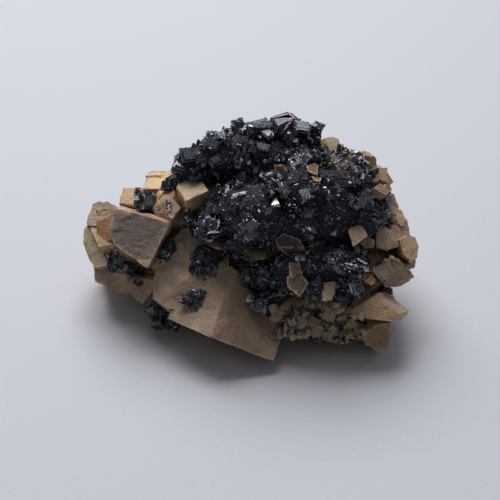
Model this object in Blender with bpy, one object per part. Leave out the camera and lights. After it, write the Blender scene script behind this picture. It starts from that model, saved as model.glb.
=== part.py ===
# Sphalerite specimen: black sphalerite crystals grown over a broken body of brown carbonate rhombs.
# Metres, +Z up. It rests on its broken flat underside at z = 0, with the origin under the middle of
# its box. The front of the specimen faces -Y.

import itertools
import math
import random

import bmesh
import bpy
from mathutils import Euler, Matrix, Vector, noise
from mathutils.bvhtree import BVHTree

MM = 0.001
GAP = 0.3  # mm between two minerals, where one grew against the other
ROOT = 3.0  # mm that a crystal reaches into what it grew from

# Crystals are placed as the viewer of the specimen sees them, from above its front at arm's length:
# millimetres across to the right, up, and out towards the eye, counted from the middle.
VIEW_TILT = math.radians(35.0)
EYE_DISTANCE = 400.0
EYE_AXIS = Vector((-0.42, -3.38))  # the line of sight passes here, across and up
MIDDLE = Vector((0.0, 0.0, 25.0))
ACROSS = Vector((1.0, 0.0, 0.0))
UP = Vector((0.0, math.sin(VIEW_TILT), math.cos(VIEW_TILT)))
OUT = Vector((0.0, -math.cos(VIEW_TILT), math.sin(VIEW_TILT)))
SEEN = Matrix((ACROSS, UP, OUT)).transposed()
FAR = 120.0  # mm, a distance well outside the specimen
MOST_BACK_RHOMBS = 28
MOST_BLACK_SHAPES = 83

BROWN = (0.26, 0.17, 0.11, 1.0)
BLACK = (0.012, 0.013, 0.018, 1.0)
BRASS = (0.62, 0.55, 0.38, 1.0)

# The outline of the specimen as seen, across and up: nothing grown on it stands out of this.
OUTLINE = [
    (-47.5, 0.6), (-47.2, 2.5), (-46.4, 3.9), (-45.9, 6.5), (-44.9, 10.1), (-43.1, 10.6), (-40.6, 9.9),
    (-39.0, 11.5), (-37.5, 10.8), (-35.8, 12.5), (-35.8, 14.6), (-30.7, 14.9), (-30.3, 16.0),
    (-29.5, 18.3), (-28.0, 18.9), (-22.1, 18.6), (-20.8, 19.5), (-21.0, 23.0), (-20.4, 25.0),
    (-17.3, 25.4), (-13.9, 24.8), (-12.8, 25.6), (-12.8, 28.0), (-12.2, 29.9), (-7.9, 29.9),
    (-5.6, 30.7), (-3.8, 31.6), (-1.3, 32.7), (4.0, 32.7), (4.6, 32.1), (6.8, 33.7), (8.9, 34.6),
    (11.6, 33.9), (14.6, 33.2), (15.6, 32.1), (19.7, 31.8), (19.9, 31.0), (19.2, 30.1), (19.2, 27.3),
    (22.0, 28.2), (24.5, 27.8), (25.5, 26.0), (28.6, 25.6), (30.6, 24.9), (33.0, 23.7), (34.4, 22.4),
    (36.5, 20.8), (37.7, 19.0), (38.7, 15.5), (40.2, 12.7), (40.0, 10.7), (42.3, 8.2), (43.9, 5.0),
    (45.0, 1.4), (46.3, 0.3), (47.5, -2.5), (46.7, -5.6), (46.4, -7.0), (45.4, -8.6), (43.5, -8.8),
    (45.9, -11.0), (41.8, -13.5), (41.8, -17.5), (44.6, -20.3), (39.4, -23.9), (38.7, -29.6),
    (37.6, -32.3), (35.9, -32.5), (31.7, -29.3), (24.9, -29.9), (20.5, -29.0), (14.0, -28.5),
    (9.2, -27.8), (6.1, -35.0), (-20.4, -25.6), (-24.8, -27.0), (-28.7, -23.5), (-27.5, -20.0),
    (-25.5, -18.2), (-27.9, -16.9), (-30.7, -18.7), (-32.5, -17.9), (-34.5, -15.3), (-39.3, -14.8),
    (-44.1, -12.4), (-44.4, -8.5), (-46.0, -6.2), (-46.9, -2.5),
]

# The body of the carbonate, as rounded lumps: centre and half sizes as seen, then roughness, all mm.
BODY_LUMPS = {
    "middle": ((9, 1, -9), (33, 20, 16), 2.0),
    "left_wing": ((-31, -2, -12), (13, 10, 13), 1.2),
    "left_shoulder": ((-19, 8, -6), (10, 9, 10), 1.2),
    "lower_front": ((13, -20.5, 0), (17, 7, 10), 1.0),
    "right_foot": ((31, -19, -4), (9, 8, 11), 1.0),
    "right_shoulder": ((35, 1, -6), (9, 12, 10), 1.0),
    "back": ((7, 12, -18), (27, 14, 11), 2.0),
    "back_of_crest": ((1, 20.5, -13), (19, 9, 11), 1.2),
}
# The broken foot that it rests on: centre and half sizes in the resting frame, mm.
FOOT_CENTRE = (4, 3, 10)
FOOT_HALF = (30, 20, 14)

# Crystal faces as flat outlines: the corners across and up, how far out their middle stands, how the
# face leans (mm out per mm across and per mm up), and the edge that runs back from it, all as seen.
# A face with an upward lean of -1.4 is level, one of 0 looks at the viewer, and one of 0.7 is upright.
BLOCKS = {
    "left_block": (
        [(-22.8, 4.2), (-29.3, -8.5), (-38.7, -1.7), (-40, 2.3), (-38.4, 8.3)],
        8.2, (0.13, -0.23), (2.3, 0.8, -14),
    ),
    "front_upper_block": (
        [(-19.3, 2.8), (-13.7, 2.3), (-12, -1.1), (-6.5, -7), (-7, -14), (-17, -21.5),
         (-24, -19.5), (-27.7, -16.6), (-28, -12.4), (-25.9, -5.9), (-22.1, -1.5)],
        6.0, (0.08, -0.3), (1, -2, -16),
    ),
    "front_block": (
        [(-11.4, -27.9), (6.1, -34.7), (9.4, -23.7), (3.2, -18.9), (-1.0, -10.4), (-5.2, -8.5)],
        9.5, (-0.47, -0.34), (-12, 5.2, -7.7),
    ),
    "top_left_block": (
        [(-29.7, 18), (-28, 18.9), (-22.1, 18.6), (-22, 14.5), (-23.8, 13.9), (-30.3, 13.7)],
        -6.5, (0, -1.4), (0.5, -6.5, -4.6),
    ),
    "top_left_low": (
        [(-35.9, 14.4), (-30.8, 14.6), (-30, 13.5), (-30.5, 11.5), (-33, 9.3), (-37, 9.9), (-36.2, 12)],
        -7, (0, -1.0), (1, -5, -6),
    ),
    "outer_left_top": (
        [(-44.8, 9.9), (-43, 10.5), (-40.4, 9.9), (-38.5, 8), (-39, 3), (-46.4, 3.6), (-46, 6.6)],
        -6, (0.2, -0.5), (2, -2, -9),
    ),
    "outer_left": (
        [(-47.2, 2.5), (-47.5, 0.6), (-46.9, -2.5), (-45.9, -6.2), (-44.1, -8.5), (-40.7, -7.6),
         (-39.5, -2), (-39.9, 4.5), (-43.2, 6.2)],
        -4, (0.35, -0.25), (3, -0.5, -12),
    ),
    "outer_left_low": (
        [(-44.4, -8), (-44.1, -12.2), (-39.3, -14.6), (-34.5, -16.2), (-32, -12), (-33, -7), (-39, -4.5)],
        -8, (0.3, 0.1), (2, 3, -13),
    ),
    "left_tip": (
        [(-35, -12.7), (-33, -11.5), (-27.8, -11.8), (-28.2, -15.2), (-30.7, -18.6), (-32.5, -17.7),
         (-34.2, -15.2)],
        1, (0, 0), (1, 3, -12),
    ),
    "pale_corner_block": (
        [(-21.3, 14.4), (-18.5, 10.4), (-13.1, 13), (-11.7, 13.5), (-14.2, 16.6), (-20.1, 16)],
        9, (0.1, -1.1), (0.6, -3.5, -5),
    ),
    "pale_corner_low": (
        [(-23.9, 12.1), (-21.8, 10.7), (-19.9, 8.6), (-22.7, 5), (-23.8, 7)],
        9, (0.1, -0.5), (1, -1, -9),
    ),
    "right_wedge": (
        [(28.3, -20.6), (34.8, -15.8), (41.2, -21.4), (39.3, -23.7), (31.1, -22.5)],
        14, (0, -0.35), (3, 0.8, -8),
    ),
    "right_upper_wedge": (
        [(33.7, -9), (40.1, -5.4), (42.4, -6.9), (45.9, -11), (41.8, -13.5), (38.2, -13.8)],
        8, (-0.3, 0.1), (-3, 1, -12),
    ),
    "right_foot_block": (
        [(31.4, -27), (35.1, -24.5), (39.3, -23.9), (38.7, -29.6), (37.6, -32.1), (35.9, -32.3),
         (31.7, -29)],
        9, (-0.1, 0.3), (-3, 3, -11),
    ),
    "row_end": (
        [(41.8, -0.6), (43.8, 0.7), (46, 0.3), (47.4, -2.5), (46.6, -5.6), (45.1, -6.6), (42.7, -4.6)],
        8, (-0.4, -0.3), (-3, 0, -10),
    ),
    "row_end_low": (
        [(42.7, -8.2), (46.3, -6.1), (45.8, -8.4), (44.3, -8.7)],
        7, (-0.2, 0), (-3, 0.6, -8),
    ),
    "rim_slab": (
        [(36.6, 20.6), (38.7, 15.5), (39.6, 13.4), (37, 12), (35.5, 18)],
        2.5, (-0.5, -0.5), (-4, 0, -10),
    ),
    "rim_slab_low": (
        [(37.4, 13), (40.1, 12.4), (40.0, 10.7), (41.6, 8.6), (39.6, 6.5), (37.4, 8)],
        2, (-0.6, -0.2), (-4, 0, -10),
    ),
    "rim_corner": (
        [(39.4, 8.6), (42.2, 8.2), (43.9, 5), (42.6, 3.2), (39, 5)],
        3, (-0.5, -0.6), (-4, -1, -10),
    ),
    "rim_low": (
        [(42, 5), (43.9, 4.6), (44.9, 1.4), (44, -1), (40, -1), (39, 4)],
        4, (-0.4, -0.4), (-5, 0, -10),
    ),
    "rim_top_a": (
        [(19.6, 27.2), (22, 28.1), (24.4, 27.7), (25.4, 25.6), (21, 24)],
        1, (0, -0.8), (-1, -6, -14),
    ),
    "rim_top_b": (
        [(26, 25.6), (28.6, 25.5), (30.6, 24.8), (33, 23.5), (34.4, 22.3), (33, 20), (26, 22)],
        -3, (-0.2, -0.8), (0, -2, -8),
    ),
}

# Smaller crystals on the front, told the same way, but with how far they stand out of what they grew
# on, and without the edge that runs back: it goes down into the body.
SET_CRYSTALS = {
    "glow_crystal": (
        [(-14.2, 9), (-10.7, 10.7), (-9.2, 12), (-8.3, 12.3), (-8.9, 9), (-11.1, 7), (-14.2, 7.6)],
        1.6, (-0.2, -0.7),
    ),
    "shade_ledge": (
        [(-12, -2), (-8.3, 0), (-3.2, -1.2), (4.1, -3.1), (3.8, -5.9), (0.1, -6.5), (-8.3, -3.6)],
        5.0, (0, -0.9),
    ),
    "shade_crystal": (
        [(6.5, -0.6), (9, 1.4), (13.9, -0.3), (15.5, -4.5), (14.6, -6), (9, -4.5)],
        1.8, (0.2, 0.2),
    ),
    "shade_crystal_mid": ([(10.6, -7), (13.5, -7.3), (14.3, -10), (11, -11.2)], 1.6, (-0.2, -0.4)),
    "shade_crystal_low": (
        [(10.2, -11), (14, -10.2), (15.8, -12.8), (13.5, -16.3), (10.4, -13.8)],
        3.2, (-0.2, -0.1),
    ),
    "light_chip": (
        [(19.9, -15.8), (20.3, -12.7), (23.5, -12), (23.6, -15.6), (21.8, -17.4)],
        3.4, (0.3, -0.4),
    ),
    "fibre_block": (
        [(19.2, -17), (23.5, -18), (25.5, -20.9), (25, -23.4), (21, -23.4), (19.4, -20.9)],
        2.2, (-0.3, -0.2),
    ),
    "small_tan": ([(4.6, -18.8), (7.2, -18.3), (7.5, -20.3), (5.8, -21.6), (4.5, -19.8)], 1.4, (-0.2, -0.3)),
    "small_tan_right": ([(16.9, -18), (19.4, -18), (19.4, -19.3), (17.2, -19.3)], 1.2, (0.2, -0.4)),
    "orange_chip": ([(30.3, -11.2), (33.1, -9.6), (35.3, -12.4), (33.7, -13.2)], 2.0, (-0.3, -0.5)),
    "orange_chip_low": ([(31.1, -12.7), (33.7, -15.2), (31.4, -15.8), (30.6, -14.2)], 2.0, (-0.2, -0.3)),
    "row_a": ([(27.3, 2.3), (29.6, 3.5), (31.1, 3.5), (32.6, 0.6), (28.6, -2.3)], 2.4, (0.2, -0.6)),
    "row_b": ([(28.6, -2.4), (32.6, 0.5), (34.6, -0.8), (34.4, -2.8), (31.1, -3.2)], 4.0, (0, -0.2)),
    "row_c": (
        [(34.9, 2.3), (37.2, 3.2), (39.2, 2.3), (41.8, -0.3), (41.3, -2.5), (38.2, -3.6), (35.2, -2.7)],
        4.2, (-0.2, -0.4),
    ),
    "upper_right_a": (
        [(33.1, 19), (34.7, 19.7), (37.2, 19.2), (38, 15.6), (33.9, 14.3), (33.1, 16.5)],
        4.0, (-0.3, -0.6),
    ),
    "upper_right_b": ([(33.7, 13.9), (37.9, 15.2), (38.3, 12.7), (34.2, 12.2)], 3.6, (-0.3, -0.4)),
    "brown_in_black": ([(6.3, 20.6), (9.1, 20.6), (10.3, 18.7), (8.3, 17.7), (6.5, 18.7)], 1.4, (0, 0)),
    "tan_in_black": ([(15.4, 20.3), (17.9, 21.2), (18.9, 20.3), (18.5, 17.7), (15.9, 18.7)], 1.8, (0, -0.8)),
    "tan_edge_in_black": ([(16.9, 17.5), (19.7, 16.9), (19.4, 15.9), (17.6, 16.2)], 1.4, (0, -0.8)),
    "pale_druse_a": (
        [(9.5, -22.5), (14, -22), (20, -23), (20.5, -26), (14, -28.3), (9.2, -27.6)],
        2.0, (-0.1, -0.2),
    ),
    "pale_druse_b": (
        [(20, -22.5), (27, -22.5), (31.5, -24.5), (31.3, -28.5), (24.9, -29.7), (20, -28.4)],
        2.0, (-0.1, -0.1),
    ),
}

# The black sphalerite: rounded masses that the crystals stand on, as seen, mm.
MAIN_MASSES = {
    "crest": ((0, 22.5, 0), (19.5, 7.6, 10), 1.2),
    "crest_left": ((-15.5, 18, 2), (5.2, 5.5, 7), 0.8),
    "field": ((17, 9, 4), (22, 15.5, 14), 1.6),
    "nodule": ((1, 7, 11), (11.2, 8.4, 9), 1.0),
    "left_of_nodule": ((-11.2, 4.4, 7), (4.2, 4.6, 7), 0.8),
    "field_back": ((22, 19, -3), (13, 6.6, 9), 1.0),
    "lower_band": ((19, -9, 9.5), (15, 8, 8), 1.2),
    "under_ledge": ((3, -11, 3), (10, 6, 8), 1.0),
    "slab_side": ((5.5, -17, 4), (5, 7, 7), 0.8),
}
# Larger black crystals, outlined the same way as the carbonate blocks.
BLACK_BLOCKS = {
    "crest_step": (
        [(-20.6, 22.7), (-17, 21.7), (-13.7, 23.2), (-13.6, 18), (-16, 16.5), (-21.4, 17)],
        8, (0, 0.3), (0.4, 2.6, -6),
    ),
    "crest_shoulder": (
        [(-12.6, 28), (-7.9, 28), (-7, 21), (-12.8, 20.5)],
        7.5, (0, 0.3), (0.3, 1.9, -5),
    ),
    "crest_middle": (
        [(-7.4, 29), (-3.8, 30.2), (-1, 31), (-0.5, 23), (-7, 22)],
        6.5, (0.1, 0.3), (0, 1.6, -5),
    ),
    "crest_centre": (
        [(-1.5, 31.2), (5.4, 31.0), (4.8, 23), (-1, 22.5)],
        7.5, (-0.1, 0.3), (0, 1.4, -5),
    ),
    "crest_peak": (
        [(5, 30.5), (8.9, 33), (12, 31.5), (12.7, 26), (6, 25)],
        5.5, (0, 0.3), (0, 1.6, -5),
    ),
    "crest_right": (
        [(11.6, 31.5), (15.4, 31), (16, 26), (12, 25)],
        4.5, (0, 0.3), (0, 1.6, -6),
    ),
    "crest_end": (
        [(15, 30.7), (19.7, 30.7), (19.2, 26), (16, 25.5)],
        3, (0, 0.3), (0.1, 1.1, -6),
    ),
    "slate_face": (
        [(13.4, 13.6), (14.6, 14.6), (16.8, 13.9), (17.4, 12), (15.6, 10.6), (13.6, 11.4)],
        18.2, (0, -0.3), (0, -0.5, -5),
    ),
    "band_splinter": (
        [(22.6, -6.8), (27.6, -7.2), (30.6, -8.8), (30.2, -9.9), (24.8, -9.6)],
        19, (0, -0.3), (0, -1, -5),
    ),
    "nodule_top": (
        [(6.4, 14.6), (8.2, 15), (10, 13.2), (9.4, 11.6), (6.6, 12)],
        18.6, (0, -0.9), (0, -1, -5),
    ),
    "field_block": (
        [(26.8, 17.2), (31.2, 17.4), (31.6, 13.8), (29.4, 12.2), (26.6, 13.6)],
        15, (0, 0.2), (0, 1, -5),
    ),
    "right_cluster": (
        [(33.8, 12), (37.6, 11.6), (39, 8.4), (36, 6.6), (33, 8.4)],
        12.4, (-0.2, -0.3), (-1, -1, -6),
    ),
}

# Sphalerite patches on the carbonate, away from the main mass: across, up, width, height, turn to the
# left in degrees, and the number of crystals.
PATCHES = {
    "sphalerite_patch_front": (-13.0, -6.8, 10.0, 12.0, -20, 6),
    "sphalerite_patch_low": (-16.0, -17.6, 5.2, 6.0, 0, 4),
    "sphalerite_patch_foot": (-24.4, -22.2, 9.4, 8.4, 0, 5),
    "sphalerite_patch_left_gap": (-35.1, -7.3, 14.0, 5.6, -33, 5),
    "sphalerite_patch_left_pocket": (-27.8, 9.0, 9.0, 6.0, -10, 4),
    "sphalerite_patch_corner": (-23.1, 14.0, 2.6, 4.6, 0, 3),
    "sphalerite_patch_seam": (-23.6, -3.6, 4.4, 8.0, -20, 4),
    "sphalerite_patch_right": (19.4, -26.6, 5.0, 3.4, 0, 3),
    "sphalerite_patch_wedge": (27.0, -20.0, 4.4, 4.0, 10, 3),
    "sphalerite_patch_wedge_top": (36.6, -14.4, 7.0, 3.4, -30, 4),
}
# The small brassy tetrahedron on the nodule: corners as seen, across, up and how far they stand out.
BRASSY = [(5.0, 8.6, 0.6), (8.2, 8.8, 0.8), (6.9, 11.8, 0.4), (6.6, 9.4, -2.4)]


def seen(across, up, out):
    """The point, in mm of the resting frame, that the eye sees at this place, this far out."""
    nearer = 1.0 - out / EYE_DISTANCE
    flat = EYE_AXIS + (Vector((across, up)) - EYE_AXIS) * nearer
    return MIDDLE + SEEN @ Vector((*flat, out))


def lump(centre, half, rough, seed, grow=0.0, detail=2, turn=SEEN):
    """A rounded lump of rock: an icosphere with the given half sizes, roughened by smooth noise."""
    shape = bmesh.new()
    bmesh.ops.create_icosphere(shape, subdivisions=detail, radius=1.0)
    mean = sum(half) / 3.0
    for vertex in shape.verts:
        way = vertex.co.normalized()
        wave = noise.fractal(way * 1.6 + Vector((seed, 0, 0)), 0.9, 2.1, 3)
        size = 1.0 + wave * rough / mean
        vertex.co = Vector(tuple(way[i] * (half[i] * size + grow) for i in range(3)))
    shape.transform(Matrix.Translation(centre) @ turn.to_4x4())
    shape.normal_update()
    return shape


def hull(points, grow=0.0):
    """The convex crystal with these corners, with every face moved outwards by at least grow."""
    shape = bmesh.new()
    for point in points:
        shape.verts.new(point)
    made = bmesh.ops.convex_hull(shape, input=shape.verts)
    inside = [item for item in made["geom_interior"] if isinstance(item, bmesh.types.BMVert)]
    bmesh.ops.delete(shape, geom=inside, context="VERTS")
    bmesh.ops.recalc_face_normals(shape, faces=shape.faces)
    shape.normal_update()
    middle = sum((vertex.co for vertex in shape.verts), Vector()) / len(shape.verts)
    nearest = min((face.verts[0].co - middle).dot(face.normal) for face in shape.faces)
    shape.transform(
        Matrix.Translation(middle) @ Matrix.Scale(1.0 + grow / nearest, 4) @ Matrix.Translation(-middle)
    )
    return shape


def leaning_face(outline, out, lean):
    """The corners of a flat face, as points as seen, from its outline, middle and lean."""
    middle = [sum(corner[axis] for corner in outline) / len(outline) for axis in (0, 1)]
    return [
        Vector((a, u, out + lean[0] * (a - middle[0]) + lean[1] * (u - middle[1]))) for a, u in outline
    ]


def block(outline, out, lean, back, grow=0.0):
    """A crystal from the outline of its front face and the edge that runs back from it."""
    front = leaning_face(outline, out, lean)
    return hull([seen(*corner) for corner in front] + [seen(*(c + Vector(back))) for c in front], grow)


def join(shapes):
    """One mesh that holds all these shapes, still crossing each other."""
    whole = bmesh.new()
    for shape in shapes:
        mesh = bpy.data.meshes.new("joining")
        shape.to_mesh(mesh)
        whole.from_mesh(mesh)
        bpy.data.meshes.remove(mesh)
    return whole


def surface_out(tree, across, up):
    """How far out, as seen, the surface in this tree stands at this place, or its rim beside it."""
    eye = MIDDLE + SEEN @ Vector((*EYE_AXIS, EYE_DISTANCE))
    hit = tree.ray_cast(eye, seen(across, up, 0) - eye)[0]
    hit = tree.find_nearest(seen(across, up, 0))[0] if hit is None else hit
    return (hit - MIDDLE).dot(OUT)


def apparent(point):
    """Where the eye sees this point of the resting frame, across and up."""
    flat = SEEN.transposed() @ (point - MIDDLE)
    return EYE_AXIS + (flat.xy - EYE_AXIS) / (1.0 - flat.z / EYE_DISTANCE)


def inside_outline(points, margin=0.0):
    """Whether the eye sees all these points inside the outline, drawn in by the margin."""
    for point in points:
        across, up = apparent(point) * (1.0 + margin / 40.0)
        crossings = 0
        for (a, b), (c, d) in zip(OUTLINE, OUTLINE[1:] + OUTLINE[:1]):
            if (b > up) != (d > up) and across < a + (c - a) * (up - b) / (d - b):
                crossings += 1
        if crossings % 2 == 0:
            return False
    return True


def set_crystal(place, covered, core, grow=0.0):
    """A crystal whose front stands out of the surface that the viewer sees, rooted in the core."""
    outline, proud, lean = place
    across, up = (sum(corner[axis] for corner in outline) / len(outline) for axis in (0, 1))
    base = surface_out(core, across, up)
    front = max(base, surface_out(covered, across, up))
    return block(outline, front + proud, lean, (0.0, 0.0, base - front - proud - ROOT), grow)


def rhomb_on(point, away, size, chance):
    """The corners of a cleavage rhomb of this edge, turned at random, half sunk in the body."""
    turned = Euler([chance.uniform(0, math.tau) for _ in range(3)]).to_matrix()
    edges = [(1, 0, 0), (0.27, 0.96, 0), (0.27, 0.2, 0.94)]
    edges = [turned @ Vector(edge) * size * chance.uniform(0.75, 1.15) for edge in edges]
    middle = point - away * size * 0.12
    return [
        middle + sum((edge * side for edge, side in zip(edges, sides)), Vector())
        for sides in itertools.product((-0.5, 0.5), repeat=3)
    ]


def blende(centre, size, sides, chance, top=None):
    """A sphalerite crystal: a frustum with three to six sides, turned at random."""
    shape = bmesh.new()
    top = chance.uniform(0.35, 0.8) if top is None else top
    bmesh.ops.create_cone(
        shape,
        cap_ends=True,
        segments=sides,
        radius1=size * 0.56,
        radius2=size * 0.56 * top,
        depth=size * chance.uniform(0.65, 0.95),
    )
    turned = Euler([chance.uniform(0, math.tau) for _ in range(3)]).to_matrix()
    shape.transform(Matrix.Translation(centre) @ turned.to_4x4())
    return shape


def largest_piece(shape):
    """Deletes all but the largest piece, as crumbs that a cut has freed fall away."""
    left = set(shape.faces)
    pieces = []
    while left:
        piece = {left.pop()}
        rim = list(piece)
        while rim:
            edges = (edge for edge in rim.pop().edges if edge.is_manifold)
            near = {face for edge in edges for face in edge.link_faces} & left
            left -= near
            piece |= near
            rim.extend(near)
        pieces.append(piece)
    kept = max(pieces, key=len)
    loose = [face for face in shape.faces if face not in kept]
    bmesh.ops.delete(shape, geom=loose, context="FACES")


def helper(shape):
    """An object for a shape that only takes part in a Boolean, hidden from renders."""
    mesh = bpy.data.meshes.new("helper")
    shape.to_mesh(mesh)
    made = bpy.data.objects.new("helper", mesh)
    made.hide_render = True
    made.display_type = "WIRE"
    cutters.objects.link(made)
    return made


def combined(first, operand, operation):
    """The mesh that a Boolean of the first object with the object or collection gives."""
    modifier = first.modifiers.new(operation.lower(), "BOOLEAN")
    modifier.operation = operation
    modifier.solver = "EXACT"
    if isinstance(operand, bpy.types.Collection):
        modifier.operand_type = "COLLECTION"
        modifier.collection = operand
    else:
        modifier.object = operand
    bpy.context.view_layer.update()
    mesh = bpy.data.meshes.new_from_object(first.evaluated_get(bpy.context.evaluated_depsgraph_get()))
    first.modifiers.clear()
    result = bmesh.new()
    result.from_mesh(mesh)
    bpy.data.meshes.remove(mesh)
    return result


def united(shapes):
    """One closed shape, the union of all of these."""
    collection = bpy.data.collections.new("united")
    cutters.children.link(collection)
    objects = [helper(shape) for shape in shapes]
    for made in objects[1:]:
        collection.objects.link(made)
        cutters.objects.unlink(made)
    result = combined(objects[0], collection, "UNION")
    for made in objects:
        bpy.data.objects.remove(made)
    bpy.data.collections.remove(collection)
    return result


def less(shape, taken):
    """The shape without what another shape takes up."""
    objects = helper(shape), helper(taken)
    result = combined(*objects, "DIFFERENCE")
    for made in objects:
        bpy.data.objects.remove(made)
    return result


def solid(name, shape, colour, roughness, metallic=0.0):
    """One named solid from a shape in millimetres, cut off at the resting face."""
    whole = less(shape, floor_cut())
    bmesh.ops.remove_doubles(whole, verts=whole.verts, dist=0.01)
    bmesh.ops.dissolve_degenerate(whole, edges=whole.edges, dist=0.01)
    bmesh.ops.triangulate(whole, faces=whole.faces)
    largest_piece(whole)
    mesh = bpy.data.meshes.new(name)
    whole.to_mesh(mesh)
    mesh.transform(Matrix.Scale(MM, 4))
    part = bpy.data.objects.new(name, mesh)
    part.data.materials.append(finish(name, colour, roughness, metallic))
    specimen.objects.link(part)
    return part


def finish(name, colour, roughness, metallic):
    """A plain finish for one solid."""
    material = bpy.data.materials.new(name)
    material.use_nodes = True
    shader = material.node_tree.nodes["Principled BSDF"]
    shader.inputs["Base Color"].default_value = colour
    shader.inputs["Roughness"].default_value = roughness
    shader.inputs["Metallic"].default_value = metallic
    return material


def floor_cut():
    """A block under z = 0, which takes off whatever would reach below the resting face."""
    shape = bmesh.new()
    bmesh.ops.create_cube(shape, size=2 * FAR)
    shape.transform(Matrix.Translation((0, 0, -FAR)))
    return shape


for old in list(bpy.data.objects):
    bpy.data.objects.remove(old)
specimen = bpy.data.collections.new("sphalerite specimen")
cutters = bpy.data.collections.new("cutters")
bpy.context.scene.collection.children.link(specimen)
bpy.context.scene.collection.children.link(cutters)


def body_shapes(grow=0.0):
    """The lumps of the carbonate body and its large blocks."""
    shapes = [lump(FOOT_CENTRE, FOOT_HALF, 1.6, 9.0, grow, turn=Matrix.Identity(3))]
    for number, (centre, half, rough) in enumerate(BODY_LUMPS.values()):
        shapes.append(lump(seen(*centre), half, rough, 10.0 + number, grow))
    return shapes


def block_shapes(grow=0.0):
    """The large blocks of the carbonate."""
    return [block(*place, grow) for place in BLOCKS.values()]


def main_masses():
    """The rounded masses under the black crystals."""
    return [
        lump(seen(*centre), half, rough, 30.0 + number)
        for number, (centre, half, rough) in enumerate(MAIN_MASSES.values())
    ]


def scatter(shapes, count, seed, keep):
    """Seeded random points on these shapes with their outward ways, where keep says yes, and which
    no other of the shapes covers."""
    chance = random.Random(seed)
    trees = [BVHTree.FromBMesh(shape) for shape in shapes]
    found = []
    faces = [(tree_number, face) for tree_number, shape in enumerate(shapes) for face in shape.faces]
    weights = [face.calc_area() for _, face in faces]
    while len(found) < count:
        number, face = chance.choices(faces, weights)[0]
        shares = [chance.random() for _ in range(3)]
        spot = sum((v.co * s for v, s in zip(face.verts, shares)), Vector()) / sum(shares)
        way = face.normal
        covered = any(
            covers(tree, spot) for other, tree in enumerate(trees) if other != number
        )
        if not covered and keep(spot, way):
            found.append((spot, way.copy()))
    return found


def covers(tree, spot):
    """Whether the closed surfaces in this tree hold the spot: a ray from it leaves more than it enters."""
    way = Vector((0.31, 0.42, 0.853))
    left = 0
    while True:
        hit, normal, _, _ = tree.ray_cast(spot, way)
        if hit is None:
            return left > 0
        left += 1 if normal.dot(way) > 0 else -1
        spot = hit + way * 0.001


body = body_shapes()
blocks = block_shapes()
masses = main_masses()
core_tree = BVHTree.FromBMesh(join(body + blocks))
masses_tree = BVHTree.FromBMesh(join(masses))
places = list(SET_CRYSTALS.values())
set_crystals = [set_crystal(place, masses_tree, core_tree) for place in places]
set_crystals_grown = [set_crystal(place, masses_tree, core_tree, GAP) for place in places]


def bare_side(spot, way):
    """Places on the sides, the back and the top edge, which small carbonate rhombs cover."""
    place = SEEN.transposed() @ (spot - MIDDLE)
    return place.z < -4 and spot.z > 5 and way.z > -0.5 and not covers(masses_tree, spot)


back_chance = random.Random(5)
back_rhombs = []
for spot, way in scatter(body, 90, 4, bare_side):
    rhomb = rhomb_on(spot, way, back_chance.uniform(5.0, 9.5), back_chance)
    if inside_outline(rhomb) and min(corner.z for corner in rhomb) > 1.0:
        back_rhombs.append(rhomb)
back_rhombs = back_rhombs[:MOST_BACK_RHOMBS]

carbonate = body + blocks + set_crystals + [hull(rhomb) for rhomb in back_rhombs]
carbonate_grown = (
    body_shapes(GAP) + block_shapes(GAP) + set_crystals_grown + [hull(r, GAP) for r in back_rhombs]
)
carbonate_room = united(carbonate_grown)
solid("carbonate_matrix", united(carbonate), BROWN, 0.85)


def on_show(spot, way):
    """Places on the black masses that stand clear of the carbonate and aren't turned away."""
    return way.dot(OUT) > -0.4 and not covers(core_tree, spot + way * 0.5)


def brassy_crystal(grow=0.0):
    """The brassy tetrahedron, standing on the nodule."""
    return hull([seen(a, u, surface_out(masses_tree, 6.7, 9.8) + o) for a, u, o in BRASSY], grow)


black_chance = random.Random(21)
black = masses + [block(*place) for place in BLACK_BLOCKS.values()]
for spot, way in scatter(black, 260, 22, on_show):
    size = black_chance.uniform(3.0, 6.2)
    crystal = blende(spot + way * size * 0.12, size, black_chance.choice((3, 3, 4, 4, 6)), black_chance)
    if len(black) < MOST_BLACK_SHAPES and inside_outline([vertex.co for vertex in crystal.verts]):
        black.append(crystal)
solid("sphalerite_main", less(less(united(black), carbonate_room), brassy_crystal(GAP)), BLACK, 0.25)
solid("chalcopyrite_crystal", brassy_crystal(), BRASS, 0.3, 0.8)

carbonate_tree = BVHTree.FromBMesh(join(carbonate))
for number, (name, (across, up, wide, tall, turn, count)) in enumerate(PATCHES.items()):
    chance = random.Random(60 + number)
    out = surface_out(carbonate_tree, across, up)
    turned = Matrix.Rotation(math.radians(turn), 3, "Z")
    middle = seen(across, up, out - 0.8)
    base = lump(middle, (wide / 2, tall / 2, 2.4), 0.5, 50.0 + number, 0, 1, SEEN @ turned)
    shapes = [base]
    for _ in range(count):
        angle, reach = chance.uniform(0, math.tau), chance.uniform(0.2, 0.9)
        beside = Vector((math.cos(angle) * reach * wide / 2, math.sin(angle) * reach * tall / 2, 0))
        beside = turned @ beside
        spot = seen(across + beside.x, up + beside.y, out + 1.4 * (1 - reach))
        shapes.append(blende(spot, chance.uniform(2.2, 3.8), chance.choice((3, 4, 6)), chance))
    solid(name, less(united(shapes), carbonate_room), BLACK, 0.25)

# The origin lies under the middle of the specimen's box.
corners = [vertex.co for part in specimen.objects for vertex in part.data.vertices]
shift = Vector(
    [-(min(c[axis] for c in corners) + max(c[axis] for c in corners)) / 2 for axis in (0, 1)] + [0.0]
)
for part in specimen.objects:
    part.data.transform(Matrix.Translation(shift))
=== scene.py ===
import math

import bmesh
import bpy
import numpy as np
from mathutils import Euler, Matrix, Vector
from mathutils.bvhtree import BVHTree


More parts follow.
